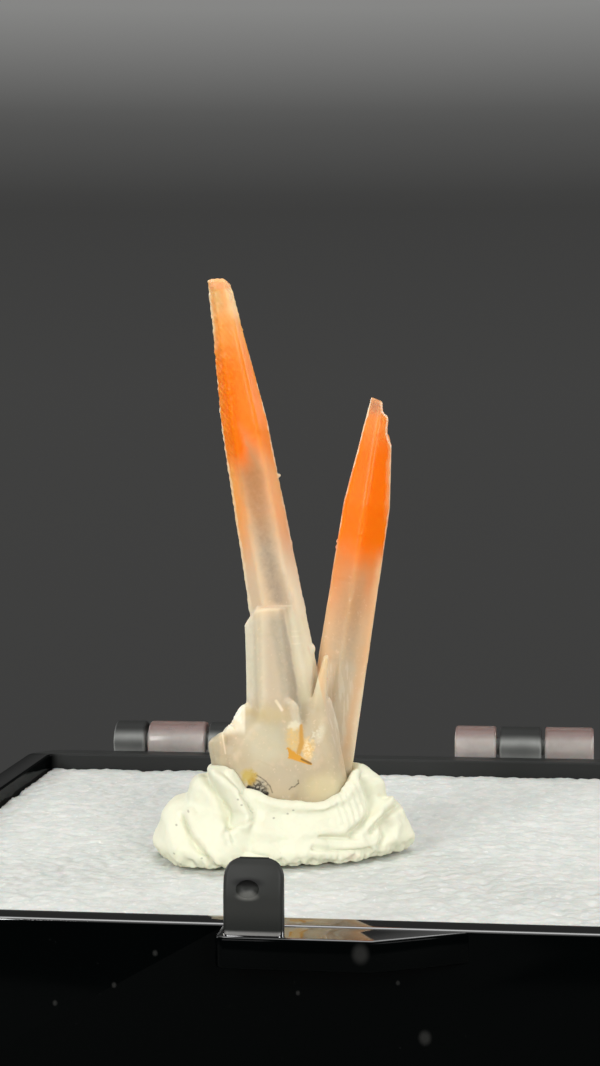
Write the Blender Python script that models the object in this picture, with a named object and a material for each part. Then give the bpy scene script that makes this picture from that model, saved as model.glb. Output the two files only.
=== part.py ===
"""Hematoid quartz: two slim crystals with orange tips and small ones round their foot, held by a
lump of putty on the foam pad of a small black display box. Metres, +Z up. The origin is under the
middle of the box, and the side that faces -Y is the one with the catch."""

import math
from dataclasses import dataclass

import bmesh
import bpy
from mathutils import Matrix, Vector

MM = 0.001
GAP = 0.3 * MM  # clear space between pieces that touch

# The box: a square tray with its catch in front and hinge barrels behind
BOX_SIDE = 56.0 * MM
BOX_HEIGHT = 14.0 * MM
BOX_WALL = 1.9 * MM
BOX_FLOOR = 1.6 * MM
BOX_CORNER = 3.0 * MM
BOX_EDGE = 0.35 * MM
BOX_HALF = BOX_SIDE / 2

CATCH_WIDTH = 3.5 * MM
CATCH_RISE = 4.4 * MM  # above the rim
CATCH_THICK = 1.3 * MM
CATCH_MIDDLE = 0.3 * MM
LEDGE_LEFT = -1.9 * MM
LEDGE_STRAIGHT = 7.2 * MM  # where its front edge starts to run back into the wall
LEDGE_RIGHT = 12.6 * MM
LEDGE_REACH = 2.6 * MM
LEDGE_TOP = BOX_HEIGHT - 0.1 * MM
LEDGE_THICK = 1.9 * MM

BARREL_RADIUS = 1.75 * MM
BARREL_RISE = 0.55 * MM  # its axis above the rim
BARREL_BACK = 1.95 * MM  # its axis behind the wall
PIN_RADIUS = 0.7 * MM
BOX_BARRELS = ((-21.1, -18.4), (-12.8, -8.7), (12.3, 15.8))
LID_BARRELS = {
    "lid_barrel_left": (-18.1, -13.1),
    "lid_barrel_middle": (8.5, 12.0),
    "lid_barrel_right": (16.1, 20.2),
}
HINGE_PINS = ((-20.0, -9.7), (8.5, 20.2))
WEB_DEPTH = 5.0 * MM  # how far a barrel's web runs down the back wall

# The foam pad
FOAM_DROP = 1.0 * MM  # its top below the rim
FOAM_TOP = BOX_HEIGHT - FOAM_DROP
FOAM_SIDE = BOX_SIDE - 2 * BOX_WALL - 2 * GAP

# The specimen stands a little in front of the middle, turned in the box
SEAT = Vector((-1.4 * MM, -4.2 * MM, FOAM_TOP))
SEAT_TURN = math.radians(7.6)

# Putty, by azimuth in degrees round the stone: 0 right, 90 behind, 180 left, 270 in front
PUTTY_STEPS = 60
FOOT_RADII = (
    (0, 9.0), (30, 7.9), (60, 6.2), (90, 5.6), (120, 6.2), (150, 8.0), (180, 9.3),
    (203, 9.3), (217, 9.1), (230, 8.1), (248, 6.3), (270, 5.6), (300, 5.8), (327, 6.7), (345, 7.6),
)
CREST_RADII = (
    (0, 5.5), (45, 5.0), (90, 4.3), (135, 4.5), (180, 5.1), (200, 5.4), (222, 5.1), (248, 4.5),
    (270, 4.15), (315, 4.7),
)
CREST_HEIGHTS = (
    (0, 6.0), (18, 5.8), (40, 5.2), (90, 5.0), (140, 5.3), (168, 6.2), (186, 6.4), (204, 6.2),
    (219, 5.4), (235, 4.6), (270, 4.2), (300, 4.0), (322, 4.5), (335, 5.2), (348, 5.9),
)
SHOULDER_HEIGHTS = ((0, 3.6), (90, 2.9), (180, 4.0), (225, 3.4), (270, 2.6), (315, 3.0))
FOOT_ROUND = 0.9 * MM
SOCKET_HEIGHT = 3.2 * MM  # the putty's top inside its crest, under the stone's root


@dataclass
class Crystal:
    """One crystal in the specimen's own frame, in millimetres: x right, y away, z above the foam.
    Its six sides taper from foot_radius to top_radius at shoulder, a share of its length, and
    steeper ones close to tip_radius. flat squeezes it front to back, turn spins it on its axis."""

    foot: tuple
    tip: tuple
    foot_radius: float
    top_radius: float
    shoulder: float
    tip_radius: float
    turn: float = 0.0
    flat: float = 1.0
    shifts: tuple = (0.0, 0.0, 0.0, 0.0, 0.0, 0.0)
    breaks: tuple = ()  # each: distance below the tip, tilt and heading in degrees


CRYSTALS = {
    "tall": Crystal(
        foot=(2.0, 0.3, 1.8), tip=(-4.42, -0.5, 39.75), foot_radius=2.33, top_radius=1.6,
        shoulder=0.735, tip_radius=0.7, turn=3, flat=0.94,
        shifts=(0.0, 0.06, -0.05, 0.0, 0.04, 0.05), breaks=((0.12, 9, 0), (-0.25, 50, 355)),
    ),
    "right": Crystal(
        foot=(2.2, 1.2, 1.9), tip=(6.91, 2.3, 31.6), foot_radius=2.14, top_radius=1.9,
        shoulder=0.745, tip_radius=0.81, turn=28, flat=0.95,
        shifts=(0.04, -0.05, -0.14, 0.04, 0.0, 0.0), breaks=((0.42, 15, 355), (0.22, 58, 355)),
    ),
    "side": Crystal(
        foot=(-0.2, -0.9, 3.2), tip=(-1.2, -1.15, 17.25), foot_radius=2.32, top_radius=1.66,
        shoulder=0.93, tip_radius=1.56, turn=0, flat=0.9, breaks=((0.05, 2, 0), (-0.83, 51, 180)),
    ),
    "lump": Crystal(
        foot=(-1.5, -1.1, 2.6), tip=(-1.0, -1.4, 10.25), foot_radius=3.05, top_radius=3.6,
        shoulder=0.6, tip_radius=3.3, turn=4, flat=0.83,
        breaks=(
            (0.0, 4, 30), (0.08, 21, 180), (-0.35, 34, 184), (0.12, 28, 268), (-0.75, 50, 272),
            (-2.6, 74, 272), (-0.1, 38, 222), (-0.9, 54, 228), (-0.5, 36, 312),
        ),
    ),
    "left_block": Crystal(
        foot=(-3.55, -1.9, 3.0), tip=(-4.75, -2.1, 8.75), foot_radius=0.95, top_radius=0.78,
        shoulder=0.8, tip_radius=0.68, turn=8, flat=0.9, breaks=((0.35, 20, 180),),
    ),
    "left_chip": Crystal(
        foot=(-2.95, -1.2, 7.0), tip=(-2.95, -1.35, 10.55), foot_radius=0.9, top_radius=0.86,
        shoulder=0.8, tip_radius=0.8, turn=0, flat=0.5,
        breaks=((0.15, 12, 180), (0.1, 44, 180), (-0.75, 68, 180)),
    ),
    "left_tooth": Crystal(
        foot=(-3.4, -1.9, 7.6), tip=(-3.85, -2.0, 9.3), foot_radius=0.5, top_radius=0.4,
        shoulder=0.6, tip_radius=0.12,
    ),
    "fork_blade": Crystal(
        foot=(1.25, -1.9, 4.0), tip=(2.88, -1.45, 14.05), foot_radius=1.3, top_radius=0.54,
        shoulder=0.68, tip_radius=0.27, turn=12, flat=0.75, breaks=((0.1, 16, 200),),
    ),
    "front_blade": Crystal(
        foot=(0.75, -2.4, 6.0), tip=(0.42, -2.7, 11.1), foot_radius=0.85, top_radius=0.66,
        shoulder=0.7, tip_radius=0.45, turn=6, flat=0.6, breaks=((0.1, 8, 0), (0.0, 52, 0)),
    ),
    "splinter": Crystal(
        foot=(-0.05, -2.0, 9.0), tip=(-0.5, -2.15, 10.9), foot_radius=0.22, top_radius=0.16,
        shoulder=0.6, tip_radius=0.04,
    ),
    "front_body": Crystal(
        foot=(2.3, -1.2, 2.6), tip=(1.3, -0.9, 10.7), foot_radius=2.5, top_radius=2.1,
        shoulder=0.76, tip_radius=1.85, turn=4, flat=0.9, breaks=((0.0, 42, 266), (-1.1, 64, 268)),
    ),
    "front_mass": Crystal(
        foot=(0.6, -1.3, 2.4), tip=(0.4, -1.4, 8.9), foot_radius=3.5, top_radius=3.1,
        shoulder=0.7, tip_radius=2.3, turn=2, flat=0.62, breaks=((0.2, 30, 268), (-0.8, 60, 268)),
    ),
    "root": Crystal(
        foot=(0.2, -0.3, 1.7), tip=(0.2, -0.3, 4.3), foot_radius=4.1, top_radius=4.5,
        shoulder=0.55, tip_radius=3.9, turn=0, flat=0.74,
    ),
}

FINISHES = {
    "quartz": ((0.93, 0.62, 0.45), 0.08, 0.0),
    "putty": ((0.86, 0.85, 0.74), 0.6, 0.0),
    "foam_pad": ((0.9, 0.91, 0.92), 0.85, 0.0),
    "box_base": ((0.012, 0.013, 0.015), 0.2, 0.0),
    "lid_barrel": ((0.9, 0.88, 0.88), 0.1, 0.0),
}


def clear_scene():
    """Start from an empty scene."""
    for item in list(bpy.data.objects):
        bpy.data.objects.remove(item)


def collection(name):
    """A new collection in the scene."""
    made = bpy.data.collections.new(name)
    bpy.context.scene.collection.children.link(made)
    return made


def finish(kind):
    """A plain material of one colour, roughness and metallic value."""
    colour, roughness, metallic = FINISHES[kind]
    made = bpy.data.materials.new(kind)
    made.use_nodes = True
    shader = made.node_tree.nodes["Principled BSDF"]
    shader.inputs["Base Color"].default_value = (*colour, 1)
    shader.inputs["Roughness"].default_value = roughness
    shader.inputs["Metallic"].default_value = metallic
    return made


def put(name, bm, group, parent=None, kind=None):
    """A mesh object made from bm, in a collection."""
    bmesh.ops.recalc_face_normals(bm, faces=bm.faces)
    mesh = bpy.data.meshes.new(name)
    bm.to_mesh(mesh)
    bm.free()
    made = bpy.data.objects.new(name, mesh)
    made.parent = parent
    group.objects.link(made)
    if kind:
        mesh.materials.append(finish(kind))
    else:
        made.hide_render = True
        made.display_type = "WIRE"
    return made


def boolean(target, tool, operation):
    """An exact cut or join of target with tool."""
    modifier = target.modifiers.new(f"{operation.lower()} {tool.name}", "BOOLEAN")
    modifier.operation = operation
    modifier.object = tool
    modifier.solver = "EXACT"


def block(low, high, corner=0.0, edge=0.0):
    """A box between two corners, with rounded upright edges and eased level ones."""
    low, high = Vector(low), Vector(high)
    bm = bmesh.new()
    bmesh.ops.create_cube(bm, size=1.0)
    bmesh.ops.scale(bm, vec=high - low, verts=bm.verts)
    bmesh.ops.translate(bm, vec=(low + high) / 2, verts=bm.verts)
    if corner:
        upright = [e for e in bm.edges if abs(e.verts[0].co.z - e.verts[1].co.z) > edge]
        bmesh.ops.bevel(bm, geom=upright, offset=corner, segments=6, profile=0.5, affect="EDGES")
    if edge:
        level = [e for e in bm.edges if abs(e.verts[0].co.z - e.verts[1].co.z) < 1e-7]
        level = [e for e in level if len(e.link_faces) == 2 and e.calc_face_angle() > 1.0]
        bmesh.ops.bevel(bm, geom=level, offset=edge, segments=2, profile=0.5, affect="EDGES")
    return bm


def barrel(start, end, radius, segments=24):
    """A cylinder along the hinge line, between two places across the box."""
    bm = bmesh.new()
    bmesh.ops.create_cone(
        bm, cap_ends=True, segments=segments, radius1=radius, radius2=radius, depth=end - start
    )
    bmesh.ops.rotate(bm, verts=bm.verts, matrix=Matrix.Rotation(math.pi / 2, 3, "Y"))
    place = ((start + end) / 2, BOX_HALF + BARREL_BACK, BOX_HEIGHT + BARREL_RISE)
    bmesh.ops.translate(bm, vec=place, verts=bm.verts)
    return bm


def cut_off(bm, point, normal):
    """Removes what lies outside a plane and closes the cut with one flat face."""
    everything = bm.verts[:] + bm.edges[:] + bm.faces[:]
    cut = bmesh.ops.bisect_plane(
        bm, geom=everything, dist=1e-8, plane_co=point, plane_no=normal, clear_outer=True
    )
    edges = [g for g in cut["geom_cut"] if isinstance(g, bmesh.types.BMEdge)]
    if len(edges) > 2:
        bmesh.ops.contextual_create(bm, geom=edges)


def side_plane(angle, flat, low, high, grow):
    """The plane of one crystal face: low and high are its distance from the axis and its place
    along it, at two heights. Flattening moves both its points and its normal."""
    across = Vector((math.cos(angle), flat * math.sin(angle), 0))
    outward = Vector((math.cos(angle), math.sin(angle) / flat, 0)).normalized()
    bottom = across * low[0] + Vector((0, 0, low[1]))
    top = across * high[0] + Vector((0, 0, high[1]))
    along = (top - bottom).normalized()
    level = Vector((-outward.y, outward.x, 0))
    normal = level.cross(along).normalized()
    return bottom + normal * grow, normal


def faceted(crystal, grow=0.0):
    """A crystal cut from a block by the planes of its own faces, grown outwards by grow."""
    foot = Vector(crystal.foot) * MM
    axis = Vector(crystal.tip) * MM - foot
    length = axis.length
    shoulder = crystal.shoulder * length
    apothem = math.cos(math.pi / 6) * MM
    reach = 2 * max(crystal.foot_radius, crystal.top_radius) * MM
    bm = block((-reach, -reach, -grow), (reach, reach, length + grow))
    for k, shift in enumerate(crystal.shifts):
        angle = math.radians(crystal.turn + 30 + 60 * k)
        foot_side = (crystal.foot_radius * apothem + shift * MM, 0.0)
        shoulder_side = (crystal.top_radius * apothem + shift * MM, shoulder)
        tip_side = (crystal.tip_radius * apothem, length)
        cut_off(bm, *side_plane(angle, crystal.flat, foot_side, shoulder_side, grow))
        cut_off(bm, *side_plane(angle, crystal.flat, shoulder_side, tip_side, grow))
    for drop, tilt, heading in crystal.breaks:
        lean, way = math.radians(tilt), math.radians(heading)
        normal = Vector(
            (math.sin(lean) * math.cos(way), math.sin(lean) * math.sin(way), math.cos(lean))
        )
        cut_off(bm, Vector((0, 0, length - drop * MM)) + normal * grow, normal)
    turn = axis.to_track_quat("Z", "Y").to_matrix()
    spin = math.atan2(-turn.col[0].y, turn.col[1].y)
    turn = turn @ Matrix.Rotation(spin, 3, "Z")
    bmesh.ops.rotate(bm, verts=bm.verts, matrix=turn)
    bmesh.ops.translate(bm, vec=foot, verts=bm.verts)
    return bm


def round_the_stone(pairs, azimuth):
    """A value between the given (degrees, value) pairs, eased and closed on itself."""
    closed = (*pairs, (pairs[0][0] + 360, pairs[0][1]))
    azimuth = azimuth % 360
    for (start, low), (end, high) in zip(closed, closed[1:]):
        if start <= azimuth <= end:
            share = (azimuth - start) / (end - start)
            share = share * share * (3 - 2 * share)
            return low + (high - low) * share
    return pairs[0][1]


def putty_profile(azimuth):
    """(radius, height) points of the putty's section at an azimuth, from its top to its foot."""
    foot = round_the_stone(FOOT_RADII, azimuth) * MM
    crest = round_the_stone(CREST_RADII, azimuth) * MM
    height = round_the_stone(CREST_HEIGHTS, azimuth) * MM
    shoulder = round_the_stone(SHOULDER_HEIGHTS, azimuth) * MM
    collar = crest + 0.42 * (foot - crest)
    return (
        (crest * 0.6, SOCKET_HEIGHT),
        (crest * 0.84, height - 0.6 * MM),
        (crest * 0.94, height),
        (crest + 0.3 * MM, height - 0.25 * MM),
        (collar - 0.35 * MM, (height + shoulder) / 2),
        (collar, shoulder + 0.15 * MM),
        (collar + 0.45 * (foot - collar), shoulder - 0.45 * MM),
        (foot - 0.35 * MM, 1.75 * MM),
        (foot, 1.0 * MM),
        (foot - 0.25 * FOOT_ROUND, 0.55 * MM),
        (foot - FOOT_ROUND, GAP),
    )


def putty_lump():
    """The pinched lump, lofted from its section at each azimuth and closed above and below."""
    bm = bmesh.new()
    rings = []
    for step in range(PUTTY_STEPS):
        azimuth = 360 * step / PUTTY_STEPS
        across = Vector((math.cos(math.radians(azimuth)), math.sin(math.radians(azimuth)), 0))
        points = putty_profile(azimuth)
        rings.append([bm.verts.new(across * radius + Vector((0, 0, z))) for radius, z in points])
    for here, after in zip(rings, rings[1:] + rings[:1]):
        for a, b, c, d in zip(here, here[1:], after[1:], after):
            bm.faces.new((a, b, c, d))
    bm.faces.new([ring[-1] for ring in rings])
    top = bm.faces.new([ring[0] for ring in rings])
    bmesh.ops.poke(bm, faces=[top])
    return bm


def make_quartz(group, tools, seat):
    """All the crystals, grown together as one stone."""
    names = list(CRYSTALS)
    stone = put("quartz", faceted(CRYSTALS[names[0]]), group, seat, "quartz")
    for name in names[1:]:
        boolean(stone, put(f"{name} crystal", faceted(CRYSTALS[name]), tools, seat), "UNION")
    return stone


def make_putty(group, tools, seat):
    """The putty, with a socket that clears every crystal by the gap."""
    putty = put("putty", putty_lump(), group, seat, "putty")
    for name, crystal in CRYSTALS.items():
        boolean(putty, put(f"{name} socket", faceted(crystal, GAP), tools, seat), "DIFFERENCE")
    return putty


def make_foam(group):
    """The pad of foam that fills the tray."""
    half = FOAM_SIDE / 2
    low = (-half, -half, BOX_FLOOR + GAP)
    pad = block(low, (half, half, FOAM_TOP), corner=BOX_CORNER - BOX_WALL)
    return put("foam_pad", pad, group, kind="foam_pad")


def catch_tab():
    """The upright tab that the lid snaps over, with its top corners rounded."""
    front = -BOX_HALF - LEDGE_REACH
    low = (CATCH_MIDDLE - CATCH_WIDTH / 2, front, LEDGE_TOP - LEDGE_THICK + 0.2 * MM)
    high = (CATCH_MIDDLE + CATCH_WIDTH / 2, front + CATCH_THICK, BOX_HEIGHT + CATCH_RISE)
    bm = block(low, high)
    top = [
        e for e in bm.edges
        if min(v.co.z for v in e.verts) > BOX_HEIGHT and abs(e.verts[0].co.x - e.verts[1].co.x) < MM / 10
    ]
    bmesh.ops.bevel(bm, geom=top, offset=1.0 * MM, segments=5, profile=0.5, affect="EDGES")
    return bm


def ledge():
    """The thumb ledge under the catch: square at the left, run back into the wall at the right."""
    low = (LEDGE_LEFT, -BOX_HALF - LEDGE_REACH, LEDGE_TOP - LEDGE_THICK)
    bm = block(low, (LEDGE_RIGHT, -BOX_HALF + BOX_WALL / 2, LEDGE_TOP))
    corner = Vector((LEDGE_STRAIGHT, -BOX_HALF - LEDGE_REACH, LEDGE_TOP))
    run = Vector((LEDGE_RIGHT - LEDGE_STRAIGHT, LEDGE_REACH, 0))
    cut_off(bm, corner, Vector((run.y, -run.x, 0)).normalized())
    return bm


def make_box(group, tools):
    """The tray, with its catch, ledge, barrels and hinge pins joined to it as one moulding."""
    outer = block(
        (-BOX_HALF, -BOX_HALF, 0), (BOX_HALF, BOX_HALF, BOX_HEIGHT), BOX_CORNER, BOX_EDGE
    )
    box = put("box_base", outer, group, kind="box_base")
    inner = BOX_HALF - BOX_WALL
    hollow = block(
        (-inner, -inner, BOX_FLOOR), (inner, inner, BOX_HEIGHT + MM), BOX_CORNER - BOX_WALL
    )
    boolean(box, put("tray hollow", hollow, tools), "DIFFERENCE")
    boolean(box, put("thumb ledge", ledge(), tools), "UNION")
    boolean(box, put("catch tab", catch_tab(), tools), "UNION")
    for start, end in BOX_BARRELS:
        name = f"box barrel {start:g}"
        boolean(box, put(name, barrel(start * MM, end * MM, BARREL_RADIUS), tools), "UNION")
        web = block(
            (start * MM + 0.1 * MM, BOX_HALF - BOX_WALL / 2, BOX_HEIGHT - WEB_DEPTH),
            (end * MM - 0.1 * MM, BOX_HALF + BARREL_BACK, BOX_HEIGHT + BARREL_RISE - 0.3 * MM),
        )
        slope = Vector((0, 1, -0.8)).normalized()
        cut_off(web, Vector((0, BOX_HALF, BOX_HEIGHT - WEB_DEPTH)), slope)
        boolean(box, put(f"{name} web", web, tools), "UNION")
    for start, end in HINGE_PINS:
        pin = barrel(start * MM, end * MM, PIN_RADIUS, 12)
        boolean(box, put(f"hinge pin {start:g}", pin, tools), "UNION")
    return box


def make_lid_barrels(group, tools):
    """The clear barrels that turn on the box's hinge pins."""
    for name, (start, end) in LID_BARRELS.items():
        bore = barrel(start * MM - MM, end * MM + MM, PIN_RADIUS + GAP, 16)
        clear = put(name, barrel(start * MM, end * MM, BARREL_RADIUS), group, kind="lid_barrel")
        boolean(clear, put(f"{name} bore", bore, tools), "DIFFERENCE")


def main():
    clear_scene()
    group = collection("Hematoid quartz")
    tools = collection("Cutters and joined shapes")
    seat = bpy.data.objects.new("specimen seat", None)
    seat.location = SEAT
    seat.rotation_euler.z = SEAT_TURN
    group.objects.link(seat)
    make_quartz(group, tools, seat)
    make_putty(group, tools, seat)
    make_foam(group)
    make_box(group, tools)
    make_lid_barrels(group, tools)


main()
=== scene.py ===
# %% [markdown]
# # Hematoid quartz in a small display box
# Slim quartz crystals, orange at their tips, stand in a lump of putty on the foam of a black box.
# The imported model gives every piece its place. This scene keeps those places and adds what the
# plain solids lack: growth marks, pressed putty, foam, moulded edges, finishes and light.

# %% Load the model
import math

import bmesh
import bpy
import numpy as np
from mathutils import Matrix, Vector, noise
from mathutils.bvhtree import BVHTree


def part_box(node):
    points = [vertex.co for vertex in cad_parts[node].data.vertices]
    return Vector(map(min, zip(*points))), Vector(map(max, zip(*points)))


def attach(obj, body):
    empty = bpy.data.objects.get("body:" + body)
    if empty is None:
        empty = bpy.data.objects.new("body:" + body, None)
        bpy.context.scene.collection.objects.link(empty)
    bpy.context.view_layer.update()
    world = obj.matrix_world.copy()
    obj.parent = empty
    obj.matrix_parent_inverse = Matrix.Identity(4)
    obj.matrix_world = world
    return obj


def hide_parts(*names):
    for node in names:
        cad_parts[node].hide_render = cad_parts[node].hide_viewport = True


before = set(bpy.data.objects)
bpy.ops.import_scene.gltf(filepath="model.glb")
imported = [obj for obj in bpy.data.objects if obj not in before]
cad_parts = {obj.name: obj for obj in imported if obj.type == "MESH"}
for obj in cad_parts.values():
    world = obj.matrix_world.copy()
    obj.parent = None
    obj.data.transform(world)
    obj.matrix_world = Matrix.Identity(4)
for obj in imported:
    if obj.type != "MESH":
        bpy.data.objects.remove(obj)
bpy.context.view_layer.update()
MM = 0.001
print("solids:", ", ".join(sorted(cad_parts)))

# %% [markdown]
# ## The camera
# The view is level with the crystals' middle and looks down by only 4 degrees, so the two long
# crystals keep their height. It is turned 7.6 degrees to the box. A camera's own axes are the
# columns of its matrix: right, up, and backwards. Setting them directly avoids guessing angles.

# %% Set up the camera
PICTURE_HEIGHT = 1066
VIEW_TURN = math.radians(7.6)
VIEW_DOWN = math.radians(4.0)
VIEW_ROLL = math.radians(-0.33)
FOCAL_PIXELS = 2050
SENSOR = 36
CAMERA_BACK, CAMERA_LEFT, CAMERA_UP = 145.48, 0.86, 45.1

ahead = Vector((-math.sin(VIEW_TURN), math.cos(VIEW_TURN), 0))
sideways = Vector((math.cos(VIEW_TURN), math.sin(VIEW_TURN), 0))
look = ahead * math.cos(VIEW_DOWN) - Vector((0, 0, math.sin(VIEW_DOWN)))
upright = ahead * math.sin(VIEW_DOWN) + Vector((0, 0, math.cos(VIEW_DOWN)))
facing = Matrix((sideways, upright, -look)).transposed() @ Matrix.Rotation(VIEW_ROLL, 3, "Z")
place = (ahead * -CAMERA_BACK + sideways * -CAMERA_LEFT + Vector((0, 0, CAMERA_UP))) * MM

camera = bpy.data.objects.new("camera", bpy.data.cameras.new("camera"))
camera.matrix_world = Matrix.Translation(place) @ facing.to_4x4()
camera.data.sensor_fit = "VERTICAL"
camera.data.sensor_height = SENSOR
camera.data.lens = SENSOR * FOCAL_PIXELS / PICTURE_HEIGHT
camera.data.clip_start = 0.005
bpy.context.scene.collection.objects.link(camera)
bpy.context.scene.camera = camera
print(f"camera at {[round(v / MM, 1) for v in place]} mm, lens {camera.data.lens:.1f} mm")

# %% [markdown]
# ## Nodes written as sums
# Materials here are long sums of masks, and wiring them one node at a time is hard to read. This
# class wraps a node's output, so that `1 - mask` adds the Math node by itself. Its method
# node() makes any other node, for a material and for Geometry Nodes alike.

# %% A wire that can be added and multiplied
class Wire:
    """A node's output. Sums on it add Math nodes, and node() adds a node of any other kind."""

    def __init__(self, tree, socket=None):
        self.tree = tree
        self.socket = socket

    def node(self, kind, settings=None, values=None, out=None):
        """A new node: its settings first, then the values or wires of its sockets."""
        made = self.tree.nodes.new(kind)
        for name, value in (settings or {}).items():
            if name == "stops":
                fill_ramp(made.color_ramp, value)
            else:
                setattr(made, name, value)
        for name, value in (values or {}).items():
            if isinstance(name, int):
                socket = made.inputs[name]
            else:
                socket = next(s for s in made.inputs if name in (s.identifier, s.name))
            if isinstance(value, Wire):
                self.tree.links.new(value.socket, socket)
            else:
                socket.default_value = value
        outputs = [s for s in made.outputs if out in (None, s.identifier, s.name)]
        return Wire(self.tree, outputs[0] if outputs else None)

    def maths(self, operation, *terms):
        return self.node("ShaderNodeMath", {"operation": operation}, dict(enumerate(terms)))

    def __add__(self, other):
        return self.maths("ADD", self, other)

    def __sub__(self, other):
        return self.maths("SUBTRACT", self, other)

    def __rsub__(self, other):
        return self.maths("SUBTRACT", other, self)

    def __mul__(self, other):
        return self.maths("MULTIPLY", self, other)

    def __truediv__(self, other):
        return self.maths("DIVIDE", self, other)

    __radd__ = __add__
    __rmul__ = __mul__


def fill_ramp(ramp, stops):
    """Gives a colour ramp its stops: (position, colour) pairs."""
    while len(ramp.elements) < len(stops):
        ramp.elements.new(0.5)
    for element, (position, colour) in zip(ramp.elements, stops):
        element.position = position
        element.color = colour


# %% [markdown]
# A mask is a number that is 1 where a tint shows and 0 elsewhere. Painting is then a list: a first
# colour, and layers of a mask and a tint over it, each mixed in by a Mix node.

# %% Small helpers for masks and colours
def tint(red, green, blue):
    """A colour given on a 0 to 255 scale, as the linear one that shaders use."""
    shares = [v / 255 for v in (red, green, blue)]
    linear = [s / 12.92 if s < 0.04045 else ((s + 0.055) / 1.055) ** 2.4 for s in shares]
    return (*linear, 1.0)


def rise(value, start, end):
    """0 at start and 1 at end, eased between them. Start may be the larger one."""
    values = {"Value": value, "From Min": start, "From Max": end}
    return value.node("ShaderNodeMapRange", {"interpolation_type": "SMOOTHSTEP"}, values)


def larger(first, second):
    """The larger of two masks, or of a mask and a number."""
    return first.maths("MAXIMUM", first, second)


def blend(mask, low, high):
    """The colour low where the mask is 0, and high where it is 1."""
    values = {"Factor_Float": mask, "A_Color": low, "B_Color": high}
    return mask.node("ShaderNodeMix", {"data_type": "RGBA"}, values, "Result_Color")


def paint(colour, *layers):
    """A colour with layers over it: a mask each, and the red, green, blue or wire that it shows."""
    colour = tint(*colour) if isinstance(colour, tuple) else colour
    for mask, shade in layers:
        colour = blend(mask, colour, tint(*shade) if isinstance(shade, tuple) else shade)
    return colour


def grain(point, scale, detail=2.0):
    """Cloudy noise between 0 and 1 at so many lumps a metre."""
    values = {"Vector": point, "Scale": scale, "Detail": detail}
    return point.node("ShaderNodeTexNoise", None, values, "Fac")


def axes(point):
    """A point's three coordinates, as a wire each."""
    split = point.node("ShaderNodeSeparateXYZ", None, {"Vector": point}).socket.node
    return [Wire(point.tree, split.outputs[axis]) for axis in "XYZ"]


print("masks and colours ready")

# %% Small helpers for materials
def new_finish(name):
    """An empty material and a wire to start its nodes from."""
    material = bpy.data.materials.new(name)
    material.use_nodes = True
    material.node_tree.nodes.clear()
    start = Wire(material.node_tree)
    point = start.node("ShaderNodeTexCoord", out="Object")
    return material, point


def principled(point, values):
    """A Principled shader with these values on its sockets."""
    return point.node("ShaderNodeBsdfPrincipled", None, values)


def mixed(share, first, second):
    """The first shader where the share is 0, and the second where it is 1."""
    return first.node("ShaderNodeMixShader", None, {0: share, 1: first, 2: second})


def bump(height, strength, distance):
    """Small bumps for a shader's Normal, from a texture's height."""
    values = {"Strength": strength, "Distance": distance, "Height": height}
    return height.node("ShaderNodeBump", None, values)


def show(shader):
    """Sends a shader to the material's output."""
    shader.node("ShaderNodeOutputMaterial", None, {"Surface": shader})


def dress(piece, material):
    """Gives a piece one material, in place of any it has."""
    piece.data.materials.clear()
    piece.data.materials.append(material)


print("material helpers ready")

# %% [markdown]
# ## The stone
# The crystals have flat faces, but a real crystal's faces carry steps where growth paused, and its
# edges are chipped. The milky lump at the foot is rounded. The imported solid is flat-sided, so a
# copy of it is remeshed into small even cells and then shaped. A few helpers come first, for adding
# a piece, applying its modifiers, and cutting one closed piece with another.

# %% Make and cut pieces
def add_piece(name, mesh):
    """A new object for a mesh, in the scene."""
    made = bpy.data.objects.new(name, mesh)
    bpy.context.scene.collection.objects.link(made)
    return made


def apply_modifiers(piece):
    """Turns a piece's modifiers into plain mesh."""
    bpy.context.view_layer.update()
    graph = bpy.context.evaluated_depsgraph_get()
    plain = bpy.data.meshes.new_from_object(piece.evaluated_get(graph))
    piece.modifiers.clear()
    piece.data = plain
    plain.name = piece.name


def from_bmesh(name, made):
    """A piece from a bmesh, with its faces turned outwards."""
    bmesh.ops.recalc_face_normals(made, faces=made.faces)
    mesh = bpy.data.meshes.new(name)
    made.to_mesh(mesh)
    made.free()
    return add_piece(name, mesh)


def cut(piece, cutter, operation="DIFFERENCE"):
    """Cuts or joins two closed pieces, and removes the second."""
    modifier = piece.modifiers.new("cut", "BOOLEAN")
    modifier.operation = operation
    modifier.solver = "MANIFOLD"
    modifier.object = cutter
    apply_modifiers(piece)
    bpy.data.objects.remove(cutter)


def join_rings(made, rings):
    """Adds a quad between each two neighbours of a ring of points and of the next ring."""
    for low_ring, high_ring in zip(rings, rings[1:]):
        for i in range(len(low_ring)):
            after = (i + 1) % len(low_ring)
            made.faces.new((low_ring[i], low_ring[after], high_ring[after], high_ring[i]))


print("piece helpers ready")

# %% [markdown]
# The stone stands a little turned on the foam, facing the camera. It is easier to shape upright and
# in millimetres, so the copy is moved into a frame of its own, and moved back when it is done. The
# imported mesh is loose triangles, which are merged so that the remesh sees one closed skin.

# %% Copy the stone into its own upright frame
SEAT = Vector((-1.4, -4.2, 13.0)) * MM
SEAT_TURN = VIEW_TURN
SAME_PLACE = 0.002
to_box = Matrix.Translation(SEAT) @ Matrix.Rotation(SEAT_TURN, 4, "Z") @ Matrix.Scale(MM, 4)

stone = add_piece("stone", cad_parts["quartz"].data.copy())
stone.data.transform(to_box.inverted())
merged = bmesh.new()
merged.from_mesh(stone.data)
bmesh.ops.remove_doubles(merged, verts=merged.verts, dist=SAME_PLACE)
merged.to_mesh(stone.data)
merged.free()
stone.data.materials.clear()
print("stone faces:", len(stone.data.polygons))

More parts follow.
